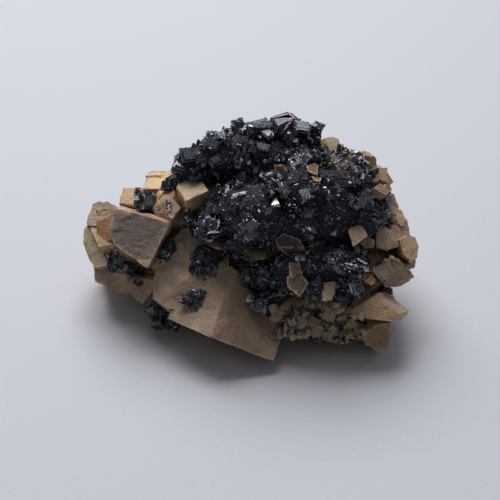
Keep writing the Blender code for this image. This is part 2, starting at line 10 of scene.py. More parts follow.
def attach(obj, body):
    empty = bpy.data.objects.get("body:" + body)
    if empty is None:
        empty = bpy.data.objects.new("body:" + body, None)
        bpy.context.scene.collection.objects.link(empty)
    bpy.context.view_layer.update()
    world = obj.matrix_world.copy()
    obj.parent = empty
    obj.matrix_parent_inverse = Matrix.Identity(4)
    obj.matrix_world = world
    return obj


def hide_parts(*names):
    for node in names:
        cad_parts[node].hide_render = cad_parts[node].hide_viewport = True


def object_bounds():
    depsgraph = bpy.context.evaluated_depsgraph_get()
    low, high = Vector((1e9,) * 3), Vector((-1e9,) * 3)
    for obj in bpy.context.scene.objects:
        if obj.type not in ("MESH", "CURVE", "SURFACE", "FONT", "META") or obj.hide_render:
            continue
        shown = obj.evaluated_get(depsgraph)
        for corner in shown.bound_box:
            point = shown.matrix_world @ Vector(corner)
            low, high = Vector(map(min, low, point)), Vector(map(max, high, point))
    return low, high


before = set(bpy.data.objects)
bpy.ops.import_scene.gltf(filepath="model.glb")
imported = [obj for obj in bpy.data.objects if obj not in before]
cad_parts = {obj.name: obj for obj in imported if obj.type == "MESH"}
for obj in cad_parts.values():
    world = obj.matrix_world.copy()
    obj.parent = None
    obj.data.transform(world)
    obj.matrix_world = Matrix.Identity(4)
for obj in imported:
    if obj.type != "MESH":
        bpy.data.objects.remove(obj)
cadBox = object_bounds()
mm = 0.001
boxLow = np.array(cadBox[0]) / mm
boxHigh = np.array(cadBox[1]) / mm
blackNodes = [name for name in sorted(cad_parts) if name.startswith("sphalerite")]
print("frame loaded:", len(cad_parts), "nodes")


# the camera stands where the photograph was taken: 35 degrees above the table, a long lens
photoView = {
    "target": (0.38, -6.14, 22.23),  # mm, the point in the middle of the picture
    "distance": 400.0,  # mm
    "elevation": 35.0,  # degrees
    "lens": 102.3,
    "sensor": 36.0,
    "pixels": 500,
}


def makeCamera(view):
    # the eye is the target plus the distance along (0, -cos, sin) of the elevation
    tilt = math.radians(view["elevation"])
    way = Vector((0.0, -math.cos(tilt), math.sin(tilt)))
    made = bpy.data.objects.new("photoCamera", bpy.data.cameras.new("photoCamera"))
    made.location = (Vector(view["target"]) + way * view["distance"]) * mm
    made.rotation_euler = (-way).to_track_quat("-Z", "Y").to_euler()
    made.data.sensor_width = view["sensor"]
    made.data.lens = view["lens"]
    made.data.clip_start = 0.01
    bpy.context.scene.collection.objects.link(made)
    bpy.context.scene.camera = made
    bpy.context.view_layer.update()
    return made


camera = makeCamera(photoView)


def meshArrays(mesh):
    # corner points and triangles of a mesh as whole arrays
    points = np.zeros(len(mesh.vertices) * 3, np.float32)
    mesh.vertices.foreach_get("co", points)
    mesh.calc_loop_triangles()
    faces = np.zeros(len(mesh.loop_triangles) * 3, np.int32)
    mesh.loop_triangles.foreach_get("vertices", faces)
    points = points.reshape(-1, 3).astype(float) / mm
    return points, faces.reshape(-1, 3), points


def joined(meshes):
    # several meshes as one; each is its points in mm, its triangles, and its places on the grown crystal
    starts = np.cumsum([0] + [len(mesh[0]) for mesh in meshes])
    faces = [mesh[1] + start for mesh, start in zip(meshes, starts)]
    points, grown = [np.concatenate([mesh[part] for mesh in meshes]) for part in (0, 2)]
    return points, np.concatenate(faces), grown


rockMesh = meshArrays(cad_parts["carbonate_matrix"].data)
blackMesh = joined([meshArrays(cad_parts[name].data) for name in blackNodes])
rockTree = BVHTree.FromPolygons(rockMesh[0].tolist(), rockMesh[1].tolist())
blackTree = BVHTree.FromPolygons(blackMesh[0].tolist(), blackMesh[1].tolist())


def pixelHit(across, down):
    # a ray from the eye through a pixel; the nearer of its hits, in mm, on the rock and the black crystals
    half = photoView["pixels"] / 2
    step = photoView["sensor"] / photoView["lens"] / photoView["pixels"]
    way = camera.matrix_world.to_3x3() @ Vector(((across - half) * step, (half - down) * step, -1.0))
    way.normalize()
    hits = [tree.ray_cast(camera.location / mm, way) for tree in (rockTree, blackTree)]
    hits = [hit for hit in hits if hit[0] is not None]
    if not hits:
        return None, None
    nearer = min(hits, key=lambda hit: hit[3])
    return np.array(nearer[0]), np.array(nearer[1])


def valueNoise(points, cell, seed):
    # random values on a cubic lattice, blended with a smooth step between its corners; runs from -1 to 1
    place = points / cell + seed * 7.31
    base = np.floor(place).astype(np.int64)
    part = place - base
    part = part * part * (3 - 2 * part)
    total = np.zeros(len(points))
    for corner in range(8):
        step = np.array([corner & 1, corner >> 1 & 1, corner >> 2 & 1])
        weight = np.prod(np.where(step == 1, part, 1 - part), axis=1)
        total += weight * hashed(base + step, seed)
    return total


def hashed(keys, seed):
    # a repeatable random number from -1 to 1 for each lattice point
    mixed = keys[:, 0] * 73856093 ^ keys[:, 1] * 19349663 ^ keys[:, 2] * 83492791 ^ (seed * 9176 + 11)
    mixed = (mixed ^ (mixed >> 13)) * 1274126177
    mixed = mixed ^ (mixed >> 17)
    return (mixed & 0xFFFF) / 32767.5 - 1


def facetNoise(points, cell, seed):
    # each lattice cell has one seed point with a random slope; a point takes the plane of its nearest seed
    place = points / cell
    base = np.floor(place).astype(np.int64)
    nearest = np.full(len(points), 1e9)
    height = np.zeros(len(points))
    for corner in range(27):
        key = base + np.array([corner % 3 - 1, corner // 3 % 3 - 1, corner // 9 - 1])
        jitter = np.stack([hashed(key, seed + i) for i in range(3)], axis=1) * 0.42
        slope = np.stack([hashed(key, seed + 5 + i) for i in range(3)], axis=1)
        away = place - (key + 0.5 + jitter)
        gap = np.einsum("ij,ij->i", away, away)
        plane = np.einsum("ij,ij->i", away, slope) + hashed(key, seed + 9) * 0.5
        closer = gap < nearest
        nearest = np.where(closer, gap, nearest)
        height = np.where(closer, plane, height)
    return height


def linear(hexColour):
    # an sRGB hex colour turned to the linear values that a shader takes
    parts = [int(hexColour[i:i + 2], 16) / 255 for i in (1, 3, 5)]
    return [p / 12.92 if p <= 0.04045 else ((p + 0.055) / 1.055) ** 2.4 for p in parts] + [1.0]


def addNode(tree, kind, links=None, stops=None, **settings):
    # adds one shader node; links holds its sockets, each a plain value or another node's output; stops are
    # a ramp's
    node = tree.nodes.new("ShaderNode" + kind)
    for key, value in settings.items():
        setattr(node, key, value)
    for key, value in (links or {}).items():
        if isinstance(value, bpy.types.NodeSocket):
            tree.links.new(value, node.inputs[key])
        else:
            node.inputs[key].default_value = value
    for place, (position, colour) in enumerate(stops or []):
        elements = node.color_ramp.elements
        stop = elements[place] if place < 2 else elements.new(position)
        stop.position = position
        stop.color = linear(colour)
    return node


def newMaterial(name):
    # a material, its tree, its shader and the place of a point on the object
    made = bpy.data.materials.new(name)
    made.use_nodes = True
    tree = made.node_tree
    return made, tree, tree.nodes["Principled BSDF"], addNode(tree, "TexCoord").outputs["Object"]


def perMm(size):
    # the scale of a pattern on metre coordinates for features of this size in millimetres
    return 1 / (size * mm)


# carbonate: siderite or ankerite, grown as rhombs with a sugary, slightly stepped skin
# to the eye: earthy tan to grey brown, quite dull, rusty in places; edges that stand out are paler, part
# rubbed wear and part painted highlight, and hollows are darker with painted shade
carbonateLook = {
    "greyBrown": "#a9907e",
    "tan": "#c8ab90",
    "warmTan": "#e0bc93",
    "rust": "#c08650",
    "rubbedEdgeAndHighlight": "#dcc7a4",
    "paintedCreviceShade": "#33291f",
    "speck": "#4a3d31",
    "patchSize": 6.0,  # mm
    "stainSize": 2.4,
    "grainSize": 0.5,
    "grainDepth": 0.5,
    "speckSize": 0.8,
    "roughness": 0.72,
}


def carbonateMaterial(look):
    # in turn: broad patches, rusty stain, the face's own tone with its painted light, sugary grain, specks,
    # rubbed edges with painted highlight, painted shade in crevices
    made, tree, shader, place = newMaterial("grownSideriteCarbonate")
    patch = addNode(tree, "TexNoise", {"Vector": place, "Scale": perMm(look["patchSize"]), "Detail": 4.0})
    ground = addNode(tree, "ValToRGB", {"Fac": patch.outputs["Fac"]},
                     [(0.36, look["greyBrown"]), (0.62, look["warmTan"]), (0.5, look["tan"])])
    stain = addNode(tree, "TexNoise", {"Vector": place, "Scale": perMm(look["stainSize"]),
                                       "Detail": 5.0, "Roughness": 0.65})
    stainShare = addNode(tree, "MapRange", {"Value": stain.outputs["Fac"], "From Min": 0.52,
                                            "From Max": 0.72, "To Max": 0.3})
    rusty = addNode(tree, "Mix", {0: stainShare.outputs[0], 6: ground.outputs["Color"],
                                  7: linear(look["rust"])}, data_type="RGBA")
    tint = addNode(tree, "Attribute", attribute_name="tint")
    tinted = addNode(tree, "Mix", {0: tint.outputs["Alpha"], 6: rusty.outputs[2],
                                   7: tint.outputs["Color"]}, data_type="RGBA")
    grain = addNode(tree, "TexNoise", {"Vector": place, "Scale": perMm(look["grainSize"]),
                                       "Detail": 3.0, "Roughness": 0.7})
    grainShade = addNode(tree, "MapRange", {"Value": grain.outputs["Fac"], "From Min": 0.3,
                                            "From Max": 0.7, "To Min": 0.6, "To Max": 1.3})
    sugary = addNode(tree, "VectorMath", {0: tinted.outputs[2], "Scale": grainShade.outputs[0]},
                     operation="SCALE")
    speck = addNode(tree, "TexVoronoi", {"Vector": place, "Scale": perMm(look["speckSize"])})
    wearAndPaintedLight = addNode(tree, "Attribute", attribute_name="wearAndPaintedLight")
    # what drives each layer, where it starts and is full, its greatest share, its colour
    # the rubbed layer is part wear and part painted highlight on edges; the crevice layer is painted shade
    # where the surface bends in
    layers = ((speck.outputs["Distance"], 0.16, 0.05, 0.5, "speck"),
              (wearAndPaintedLight.outputs["Fac"], 0.2, 0.8, 0.6, "rubbedEdgeAndHighlight"),
              (wearAndPaintedLight.outputs["Fac"], -0.15, -0.9, 0.8, "paintedCreviceShade"))
    colour = sugary.outputs[0]
    for driver, start, full, most, name in layers:
        share = addNode(tree, "MapRange", {"Value": driver, "From Min": start, "From Max": full,
                                           "To Max": most})
        mixed = addNode(tree, "Mix", {0: share.outputs[0], 6: colour, 7: linear(look[name])},
                        data_type="RGBA")
        colour = mixed.outputs[2]
    tree.links.new(colour, shader.inputs["Base Color"])
    shader.inputs["Roughness"].default_value = look["roughness"]
    shader.inputs["IOR"].default_value = 1.6
    shader.inputs["Specular IOR Level"].default_value = 0.35
    fine = addNode(tree, "Bump", {"Height": grain.outputs["Fac"], "Strength": 0.8,
                                  "Distance": look["grainDepth"] * mm})
    tree.links.new(fine.outputs["Normal"], shader.inputs["Normal"])
    return made


# sphalerite: iron rich and black, grown as small glassy crystals with striped faces
# to the eye: near black with a blue grey sheen where a face mirrors the sky, else resinous and deep
sphaleriteLook = {
    "deep": "#1f2229",
    "slate": "#343a46",
    "brownish": "#2c2422",
    # the ground's tone: darker than the crystals, painted shade between them
    "gap": "#121418",
    "sheen": "#edf1fc",
    "ior": 2.37,
    "tuneSize": 1.3,  # mm, patches of brighter and duller crystals
    "smooth": 0.15,  # roughness of the brightest and the dullest patch
    "rough": 0.36,
    "stripeSize": 0.42,
    "stripeDepth": 0.06,
    "grooveShine": 0.25,
    "faceShine": 0.9,
    "pitSize": 0.5,
    "pitDepth": 0.3,
}


def sphaleriteMaterial(look):
    # patches tune colour and roughness; a wave along the crystal's own axes stripes its faces and dulls
    # the grooves; small pits break up the mirror
    made, tree, shader, place = newMaterial("grownBlackSphalerite")
    tune = addNode(tree, "TexVoronoi", {"Vector": place, "Scale": perMm(look["tuneSize"])})
    parts = addNode(tree, "SeparateColor", {0: tune.outputs["Color"]})
    colour = addNode(tree, "ValToRGB", {"Fac": parts.outputs[0]},
                     [(0.0, look["deep"]), (1.0, look["slate"]), (0.55, look["deep"]),
                      (0.8, look["brownish"])])
    tree.links.new(colour.outputs["Color"], shader.inputs["Base Color"])
    rough = addNode(tree, "MapRange", {"Value": parts.outputs[1], "To Min": look["smooth"],
                                       "To Max": look["rough"]})
    tree.links.new(rough.outputs[0], shader.inputs["Roughness"])
    shader.inputs["IOR"].default_value = look["ior"]
    shader.inputs["Specular Tint"].default_value = linear(look["sheen"])
    grown = addNode(tree, "Attribute", attribute_name="grown")
    # a wave's period is pi / 10 over its scale; the attribute is in mm
    stripe = addNode(tree, "TexWave", {"Vector": grown.outputs["Vector"], "Distortion": 1.5,
                                       "Scale": math.pi / 10 / look["stripeSize"], "Detail": 2.0})
    groove = addNode(tree, "MapRange", {"Value": stripe.outputs["Fac"], "From Min": 0.2,
                                        "From Max": 0.65, "To Min": look["grooveShine"],
                                        "To Max": look["faceShine"]})
    tree.links.new(groove.outputs[0], shader.inputs["Specular IOR Level"])
    pit = addNode(tree, "TexNoise", {"Vector": place, "Scale": perMm(look["pitSize"]), "Detail": 3.0})
    striped = addNode(tree, "Bump", {"Height": stripe.outputs["Fac"], "Strength": 0.7,
                                     "Distance": look["stripeDepth"] * mm})
    pitted = addNode(tree, "Bump", {"Height": pit.outputs["Fac"], "Strength": 0.35,
                                    "Distance": look["pitDepth"] * mm,
                                    "Normal": striped.outputs["Normal"]})
    tree.links.new(pitted.outputs["Normal"], shader.inputs["Normal"])
    return made


# the same mineral between and under the crystals, rough where hundreds of small ones end, and darker than
# the crystals as painted shade in the gaps
# to the eye: a dull soft black that gives no mirror
def sphaleriteGroundMaterial(look):
    # one dark tone, painted shade for the gaps, with pits twice as deep as the crystals' own
    made, tree, shader, place = newMaterial("grownDullSphaleriteGround")
    pit = addNode(tree, "TexNoise", {"Vector": place, "Scale": perMm(look["pitSize"]), "Detail": 4.0})
    shader.inputs["Base Color"].default_value = linear(look["gap"])
    shader.inputs["Roughness"].default_value = 0.6
    shader.inputs["IOR"].default_value = 1.5
    shader.inputs["Specular Tint"].default_value = linear(look["sheen"])
    pitted = addNode(tree, "Bump", {"Height": pit.outputs["Fac"], "Strength": 0.9,
                                    "Distance": 2 * look["pitDepth"] * mm})
    tree.links.new(pitted.outputs["Normal"], shader.inputs["Normal"])
    return made


# chalcopyrite: one brassy crystal, painted near white as a painted glint, a metal face that flashes
chalcopyriteLook = {
    # both tones are near white instead of brass yellow: a painted glint
    "face": "#fffdf0",
    "tarnishAndGlint": "#f5edd2",
    "tarnishSize": 0.6,  # mm
    "tarnishDepth": 0.2,
    "roughness": 0.3,
    "metal": 0.8,  # the rest is diffuse, which with the near-white colour adds to the painted glint
}


def chalcopyriteMaterial(look):
    # a cloudy film mixes two near-white tones of the painted glint, and ripples the face a little
    made, tree, shader, place = newMaterial("grownBrassyChalcopyrite")
    film = addNode(tree, "TexNoise", {"Vector": place, "Scale": perMm(look["tarnishSize"])})
    colour = addNode(tree, "ValToRGB", {"Fac": film.outputs["Fac"]},
                     [(0.4, look["tarnishAndGlint"]), (0.6, look["face"])])
    tree.links.new(colour.outputs["Color"], shader.inputs["Base Color"])
    shader.inputs["Metallic"].default_value = look["metal"]
    shader.inputs["Roughness"].default_value = look["roughness"]
    bump = addNode(tree, "Bump", {"Height": film.outputs["Fac"], "Strength": 0.5,
                                  "Distance": look["tarnishDepth"] * mm})
    tree.links.new(bump.outputs["Normal"], shader.inputs["Normal"])
    return made


# fine carbonate sugar that sits on the black crystals: pale, dry, matte
dustLook = {"pale": "#c4b8a2", "grey": "#8a8072", "cloudSize": 3.0, "roughness": 0.8}
# a film of iron stain on a crystal: reddish brown, dry
rustLook = {"pale": "#b08478", "grey": "#74483c", "cloudSize": 0.8, "roughness": 0.6}


def dustMaterial(name, look):
    # two tones, mixed by a soft cloud
    made, tree, shader, place = newMaterial(name)
    cloud = addNode(tree, "TexNoise", {"Vector": place, "Scale": perMm(look["cloudSize"])})
    colour = addNode(tree, "ValToRGB", {"Fac": cloud.outputs["Fac"]},
                     [(0.4, look["grey"]), (0.6, look["pale"])])
    tree.links.new(colour.outputs["Color"], shader.inputs["Base Color"])
    shader.inputs["Roughness"].default_value = look["roughness"]
    return made


carbonate = carbonateMaterial(carbonateLook)
sphalerite = sphaleriteMaterial(sphaleriteLook)
sphaleriteGround = sphaleriteGroundMaterial(sphaleriteLook)
chalcopyrite = chalcopyriteMaterial(chalcopyriteLook)
dust = dustMaterial("paleCarbonateSugar", dustLook)
rusty = dustMaterial("ironStainedCarbonate", rustLook)
print("materials made")


def meshPiece(name, parts, material, tone="#b7a68c", toneShare=0.75):
    # a new object at the origin from a mesh of arrays, riding on the one body; the tone is for carbonate
    points, faces, grown = parts
    mesh = bpy.data.meshes.new(name)
    mesh.from_pydata((points * mm).tolist(), [], faces.tolist())
    grownLayer = mesh.attributes.new("grown", "FLOAT_VECTOR", "POINT")
    grownLayer.data.foreach_set("vector", grown.astype(np.float32).ravel())
    tint = np.tile(linear(tone)[:3] + [toneShare], (len(points), 1)).astype(np.float32)
    mesh.attributes.new("tint", "FLOAT_COLOR", "POINT").data.foreach_set("color", tint.ravel())
    mesh.materials.append(material)
    made = bpy.data.objects.new(name, mesh)
    bpy.context.scene.collection.objects.link(made)
    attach(made, "root")
    return made


# the rock: the CAD solid with a fine skin of growth steps, chips and sugary grain
rock = {
    "octree": 8,  # the skin's grid has two to this power cells across the specimen, about 0.4 mm each
    "octreeFill": 0.9,
    "terraceCell": 6.0,
    "terraceLevels": 2.5,
    "terraceStep": 0.11,
    "facetCell": 4.2,
    "facetHeight": 0.13,
    "grainCell": 0.9,
    "grainHeight": 0.1,
    "pitCell": 1.3,
    "pitDepth": 0.6,
    "chipCell": 1.6,
    "chipDepth": 0.9,
    "backStart": 2.0,
    "backReach": 6,  # mm from there to the full height
    "backCell": 6.5,
    "backHeight": 0.7,
    "smoothing": 4,
    "wearBend": 0.35,  # mm that an edge stands out where it is fully worn and takes the full painted highlight
    "deepest": 0.7,
    "footFlat": 0.3,  # mm over the table where the relief starts, and what it takes to reach its full height
    "footRise": 1.5,
    "faceDepth": 1.6,  # mm from a face's plane within which a point takes the face's tone
    "faceTurn": 0.8,
    "sharpAngle": 32.0,
    "thinned": 0.53,  # share of the triangles that is left, fewest where the rock is flat
    # faces that have their own tone, read off with the light on them: each is the face's colour plus painted
    # light, paler on lit tops and darker on shaded fronts; pixel, radius in mm, colour, share
    "tonesWithPaintedLight": [
        {"pixel": (138, 235), "radius": 9.0, "colour": "#776a62", "share": 0.85},
        {"pixel": (150, 205), "radius": 7.0, "colour": "#e8bb8c", "share": 0.85},
        {"pixel": (173, 235), "radius": 5.0, "colour": "#7c6f62", "share": 0.8},
        {"pixel": (103, 228), "radius": 5.0, "colour": "#dba06c", "share": 0.75},
        {"pixel": (90, 240), "radius": 6.0, "colour": "#d6c09f", "share": 0.75},
        {"pixel": (98, 205), "radius": 5.0, "colour": "#bda988", "share": 0.75},
        {"pixel": (160, 180), "radius": 6.5, "colour": "#f6d6a2", "share": 0.9},
        {"pixel": (133, 190), "radius": 5.0, "colour": "#e0b888", "share": 0.8},
        {"pixel": (192, 190), "radius": 5.5, "colour": "#ead0a8", "share": 0.85},
        {"pixel": (365, 280), "radius": 2.8, "colour": "#d98c3f", "share": 0.9},
        {"pixel": (205, 208), "radius": 3.0, "colour": "#b98d60", "share": 0.7},
        {"pixel": (180, 208), "radius": 4.0, "colour": "#a48c74", "share": 0.7},
        {"pixel": (190, 240), "radius": 4.0, "colour": "#c8b8a8", "share": 0.8},
        {"pixel": (210, 290), "radius": 12.0, "colour": "#a58d79", "share": 0.7},
        {"pixel": (250, 325), "radius": 12.0, "colour": "#977a63", "share": 0.7},
        {"pixel": (355, 238), "radius": 3.0, "colour": "#a58b74", "share": 0.8},
        {"pixel": (383, 240), "radius": 4.5, "colour": "#e3c3a2", "share": 0.8},
        {"pixel": (405, 258), "radius": 5.0, "colour": "#d8bb9e", "share": 0.8},
        {"pixel": (378, 335), "radius": 5.0, "colour": "#a1815f", "share": 0.8},
        {"pixel": (330, 335), "radius": 9.0, "colour": "#918775", "share": 0.8},
        {"pixel": (305, 330), "radius": 8.0, "colour": "#918775", "share": 0.8},
        {"pixel": (330, 310), "radius": 5.0, "colour": "#9a8d7c", "share": 0.7},
        {"pixel": (375, 312), "radius": 7.0, "colour": "#c4a27a", "share": 0.8},
        {"pixel": (398, 320), "radius": 4.0, "colour": "#d0b08a", "share": 0.8},
        {"pixel": (330, 145), "radius": 4.0, "colour": "#b09a7a", "share": 0.7},
        {"pixel": (360, 155), "radius": 5.0, "colour": "#c0aa88", "share": 0.6},
        {"pixel": (277, 169), "radius": 3.0, "colour": "#503a36", "share": 0.95},
        {"pixel": (311, 168), "radius": 3.0, "colour": "#6d5548", "share": 0.9},
        {"pixel": (314, 178), "radius": 2.5, "colour": "#77604f", "share": 0.9},
        {"pixel": (287, 245), "radius": 4.5, "colour": "#4b443f", "share": 0.95},
        {"pixel": (293, 268), "radius": 3.0, "colour": "#625146", "share": 0.9},
        {"pixel": (298, 284), "radius": 4.0, "colour": "#65574d", "share": 0.9},
        {"pixel": (329, 290), "radius": 3.0, "colour": "#a4907c", "share": 0.8},
    ],
}


def neighbourMean(values, edges, count):
    # the mean of each vertex's neighbours, over the edge list
    total = np.zeros_like(values)
    for column in range(values.shape[1]):
        total[:, column] = (np.bincount(edges[:, 0], values[edges[:, 1], column], len(values))
                            + np.bincount(edges[:, 1], values[edges[:, 0], column], len(values)))
    return total / count[:, None]


def makeRock(settings):
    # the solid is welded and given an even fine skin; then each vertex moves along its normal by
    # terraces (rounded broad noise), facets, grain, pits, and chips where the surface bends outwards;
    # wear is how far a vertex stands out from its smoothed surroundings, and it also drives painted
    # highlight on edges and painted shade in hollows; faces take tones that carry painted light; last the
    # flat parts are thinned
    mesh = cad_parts["carbonate_matrix"].data.copy()
    shape = bmesh.new()
    shape.from_mesh(mesh)
    bmesh.ops.remove_doubles(shape, verts=shape.verts, dist=0.000002)
    shape.to_mesh(mesh)
    shape.free()
    made = bpy.data.objects.new("carbonateRock", mesh)
    bpy.context.scene.collection.objects.link(made)
    skin = made.modifiers.new("skin", "REMESH")
    skin.mode = "SHARP"
    skin.octree_depth = settings["octree"]
    skin.scale = settings["octreeFill"]
    skin.use_remove_disconnected = False
    fine = bpy.data.meshes.new_from_object(made.evaluated_get(bpy.context.evaluated_depsgraph_get()))
    made.modifiers.clear()
    made.data = fine
    fine.name = "carbonateRock"
    count = len(fine.vertices)
    points = np.zeros(count * 3, np.float32)
    fine.vertices.foreach_get("co", points)
    points = points.reshape(-1, 3).astype(float) / mm
    normals = np.zeros(count * 3, np.float32)
    fine.vertices.foreach_get("normal", normals)
    normals = normals.reshape(-1, 3).astype(float)
    edges = np.zeros(len(fine.edges) * 2, np.int32)
    fine.edges.foreach_get("vertices", edges)
    edges = edges.reshape(-1, 2)
    valence = np.maximum(np.bincount(edges.ravel(), minlength=count), 1)
    blurred = points
    for turn in range(settings["smoothing"]):
        blurred = neighbourMean(blurred, edges, valence)
    bend = np.einsum("ij,ij->i", normals, points - blurred)
    wearAndPaintedLight = np.clip(bend / settings["wearBend"], -1, 1) * (0.55 + 0.45 * valueNoise(points, 2.2, 44))
    levels = np.round(valueNoise(points, settings["terraceCell"], 3) * settings["terraceLevels"])
    terrace = levels * settings["terraceStep"]
    facet = facetNoise(points, settings["facetCell"], 21) * settings["facetHeight"]
    grain = valueNoise(points, settings["grainCell"], 5) * settings["grainHeight"]
    chipNoise = np.clip(valueNoise(points, settings["chipCell"], 8) - 0.1, 0, 1)
    chip = chipNoise * np.clip(wearAndPaintedLight, 0, 1) * settings["chipDepth"]
    pit = np.clip(valueNoise(points, settings["pitCell"], 14) - 0.45, 0, 1) * settings["pitDepth"]
    height = np.clip(terrace + facet + grain - chip - pit, -settings["deepest"], settings["deepest"] * 0.5)
    # broad faces on what the photograph doesn't show: the share grows from the middle to the back
    behind = np.clip((points[:, 1] - settings["backStart"]) / settings["backReach"], 0, 1)
    height = height + behind * facetNoise(points, settings["backCell"], 55) * settings["backHeight"]
    aloft = np.clip((points[:, 2] - settings["footFlat"]) / settings["footRise"], 0, 1)
    points = points + normals * (height * aloft)[:, None]
    points = np.clip(points, boxLow, boxHigh)
    fine.vertices.foreach_set("co", (points * mm).astype(np.float32).ravel())
    # this value drives wear and painted light: pale edges with painted highlight, hollows with painted shade
    fine.attributes.new("wearAndPaintedLight", "FLOAT", "POINT").data.foreach_set("value", wearAndPaintedLight.astype(np.float32))
    tint = np.zeros((count, 4))
    # each tone is painted light as well as colour: lit faces are painted paler and shaded faces darker
    for tone in settings["tonesWithPaintedLight"]:
        spot, facing = pixelHit(*tone["pixel"])
        if spot is None:
            continue
        away = points - spot
        far = np.linalg.norm(away, axis=1) / tone["radius"]
        # only the face that was hit takes the tone: near its plane and turned the same way
        sameFace = np.abs(away @ facing) < settings["faceDepth"]
        sameFace &= normals @ facing > settings["faceTurn"]
        near = np.clip(2.2 - 1.8 * far + 0.35 * valueNoise(points, 2.5, 31), 0, 1)
        share = near * tone["share"] * sameFace
        stronger = share > tint[:, 3]
        tint[stronger, :3] = np.array(linear(tone["colour"])[:3])
        tint[stronger, 3] = share[stronger]
    tintLayer = fine.attributes.new("tint", "FLOAT_COLOR", "POINT")
    tintLayer.data.foreach_set("color", tint.astype(np.float32).ravel())
    fine.materials.clear()
    fine.materials.append(carbonate)
    thin = made.modifiers.new("thin", "DECIMATE")
    thin.ratio = settings["thinned"]
    fine = bpy.data.meshes.new_from_object(made.evaluated_get(bpy.context.evaluated_depsgraph_get()))
    made.modifiers.clear()
    made.data = fine
    fine.shade_smooth()
    fine.set_sharp_from_angle(angle=math.radians(settings["sharpAngle"]))
    fine.update()
    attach(made, "root")
    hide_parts("carbonate_matrix")
    return made


rockPiece = makeRock(rock)
print("rock:", len(rockPiece.data.polygons), "faces")


# small closed crystal shapes as points and triangles, each about one unit in radius
def truncatedTetrahedron():
    # the points of (3, 1, 1) with an even number of minus signs, in every order: four corners cut off
    points = []
    for signs in ((1, 1, 1), (1, -1, -1), (-1, 1, -1), (-1, -1, 1)):
        for place in range(3):
            point = [1.0, 1.0, 1.0]
            point[place] = 3.0
            points.append([point[i] * signs[i] for i in range(3)])
    return hullOf(np.array(points) / math.sqrt(11))


def stepBlock():
    # a box with two corners cut away, flat like a stepped cleavage block
    points = [(x, y, z) for x in (-1, 1) for y in (-0.8, 0.8) for z in (-0.55, 0.55)]
    points = [p for p in points if p not in ((1, 0.8, 0.55), (-1, -0.8, 0.55))]
    points += [(0.3, 0.8, 0.55), (1, 0.2, 0.55), (-0.4, -0.8, 0.55), (-1, -0.1, 0.55)]
    return hullOf(np.array(points) / 1.3)


def doubleWedge():
    # a squat prism of six sides, each end drawn in to a smaller flat
    ring = [(math.cos(i * math.pi / 3), math.sin(i * math.pi / 3)) for i in range(6)]
    points = [(x * 0.55, y * 0.55, 0.75) for x, y in ring] + [(x, y, -0.15) for x, y in ring]
    points += [(x * 0.5, y * 0.5, -0.8) for x, y in ring[::2]]
    return hullOf(np.array(points))


def hullOf(points):
    # the convex hull as points and outward triangles
    shape = bmesh.new()
    for point in points:
        shape.verts.new(point)
    made = bmesh.ops.convex_hull(shape, input=shape.verts)
    bmesh.ops.delete(shape, geom=[g for g in made["geom_interior"] if isinstance(g, bmesh.types.BMVert)],
                     context="VERTS")
    bmesh.ops.triangulate(shape, faces=shape.faces[:])
    shape.verts.index_update()
    corners = np.array([v.co[:] for v in shape.verts])
    faces = np.array([[v.index for v in f.verts] for f in shape.faces])
    shape.free()
    a, b, c = (corners[faces[:, i]] for i in range(3))
    inward = np.einsum("ij,ij->i", np.cross(b - a, c - a), a + b + c - 3 * corners.mean(axis=0)) < 0
    faces[inward] = faces[inward][:, ::-1]
    return corners, faces


def plateStack(count, seed):
    # thin slabs one over the other, each a little smaller, larger or shifted: a crystal with striped sides
    random = np.random.default_rng(seed)
    slabs = []
    for place in range(count):
        wide, deep = random.uniform(0.62, 1.0, 2)
        shift = random.uniform(-0.16, 0.16, 2)
        low = -0.7 + 1.4 * place / count
        high = low + 1.4 / count * random.uniform(0.75, 1.0)
        cut = random.uniform(0.5, 0.9)
        ring = [(wide * cut, -deep), (wide, -deep * cut), (wide, deep),
                (-wide * cut, deep), (-wide, deep * cut), (-wide, -deep)]
        points = [(x + shift[0], y + shift[1], z) for x, y in ring for z in (low, high)]
        corners, faces = hullOf(np.array(points))
        slabs.append((corners, faces, corners))
    return joined(slabs)[:2]


crystalShapes = [truncatedTetrahedron(), stepBlock(), doubleWedge(), plateStack(6, 3), plateStack(5, 8)]
# the smallest ones have five or six corners: a lopsided chip, a long splinter and a round grain
chipShape = hullOf(np.array([(1, 0.1, 0), (-0.9, 0.3, 0.1), (0, -0.9, 0.2),
                             (0.2, 0.6, 0.8), (0, 0.1, -0.8)]))
splinterShape = hullOf(np.array([(1.4, 0, 0), (-1.3, 0.2, 0), (0, 0.5, 0.3),
                                 (0.1, -0.5, 0.3), (0, 0, -0.5)]))
grainShape = hullOf(np.array([(1, 0, 0), (-0.8, 0.2, 0), (0, 0.9, 0.1),
                              (0.1, -1, 0), (0, 0, 0.9), (0.1, 0, -0.9)]))
# a cube leant over two ways, as the carbonate's rhombs are
rhombShape = hullOf(np.array([(x + 0.3 * y, 0.9 * y + 0.25 * z, 0.9 * z) for x in (-0.8, 0.8)
                              for y in (-0.8, 0.8) for z in (-0.8, 0.8)]))


def turnMatrices(draws):
    # a turn for each row of four random numbers: a unit quaternion written out as a matrix
    w, x, y, z = (draws / np.linalg.norm(draws, axis=1, keepdims=True)).T
    rows = [
        [1 - 2 * (y * y + z * z), 2 * (x * y - w * z), 2 * (x * z + w * y)],
        [2 * (x * y + w * z), 1 - 2 * (x * x + z * z), 2 * (y * z - w * x)],
        [2 * (x * z - w * y), 2 * (y * z + w * x), 1 - 2 * (x * x + y * y)],
    ]
    return np.stack([np.stack(row, axis=1) for row in rows], axis=1)


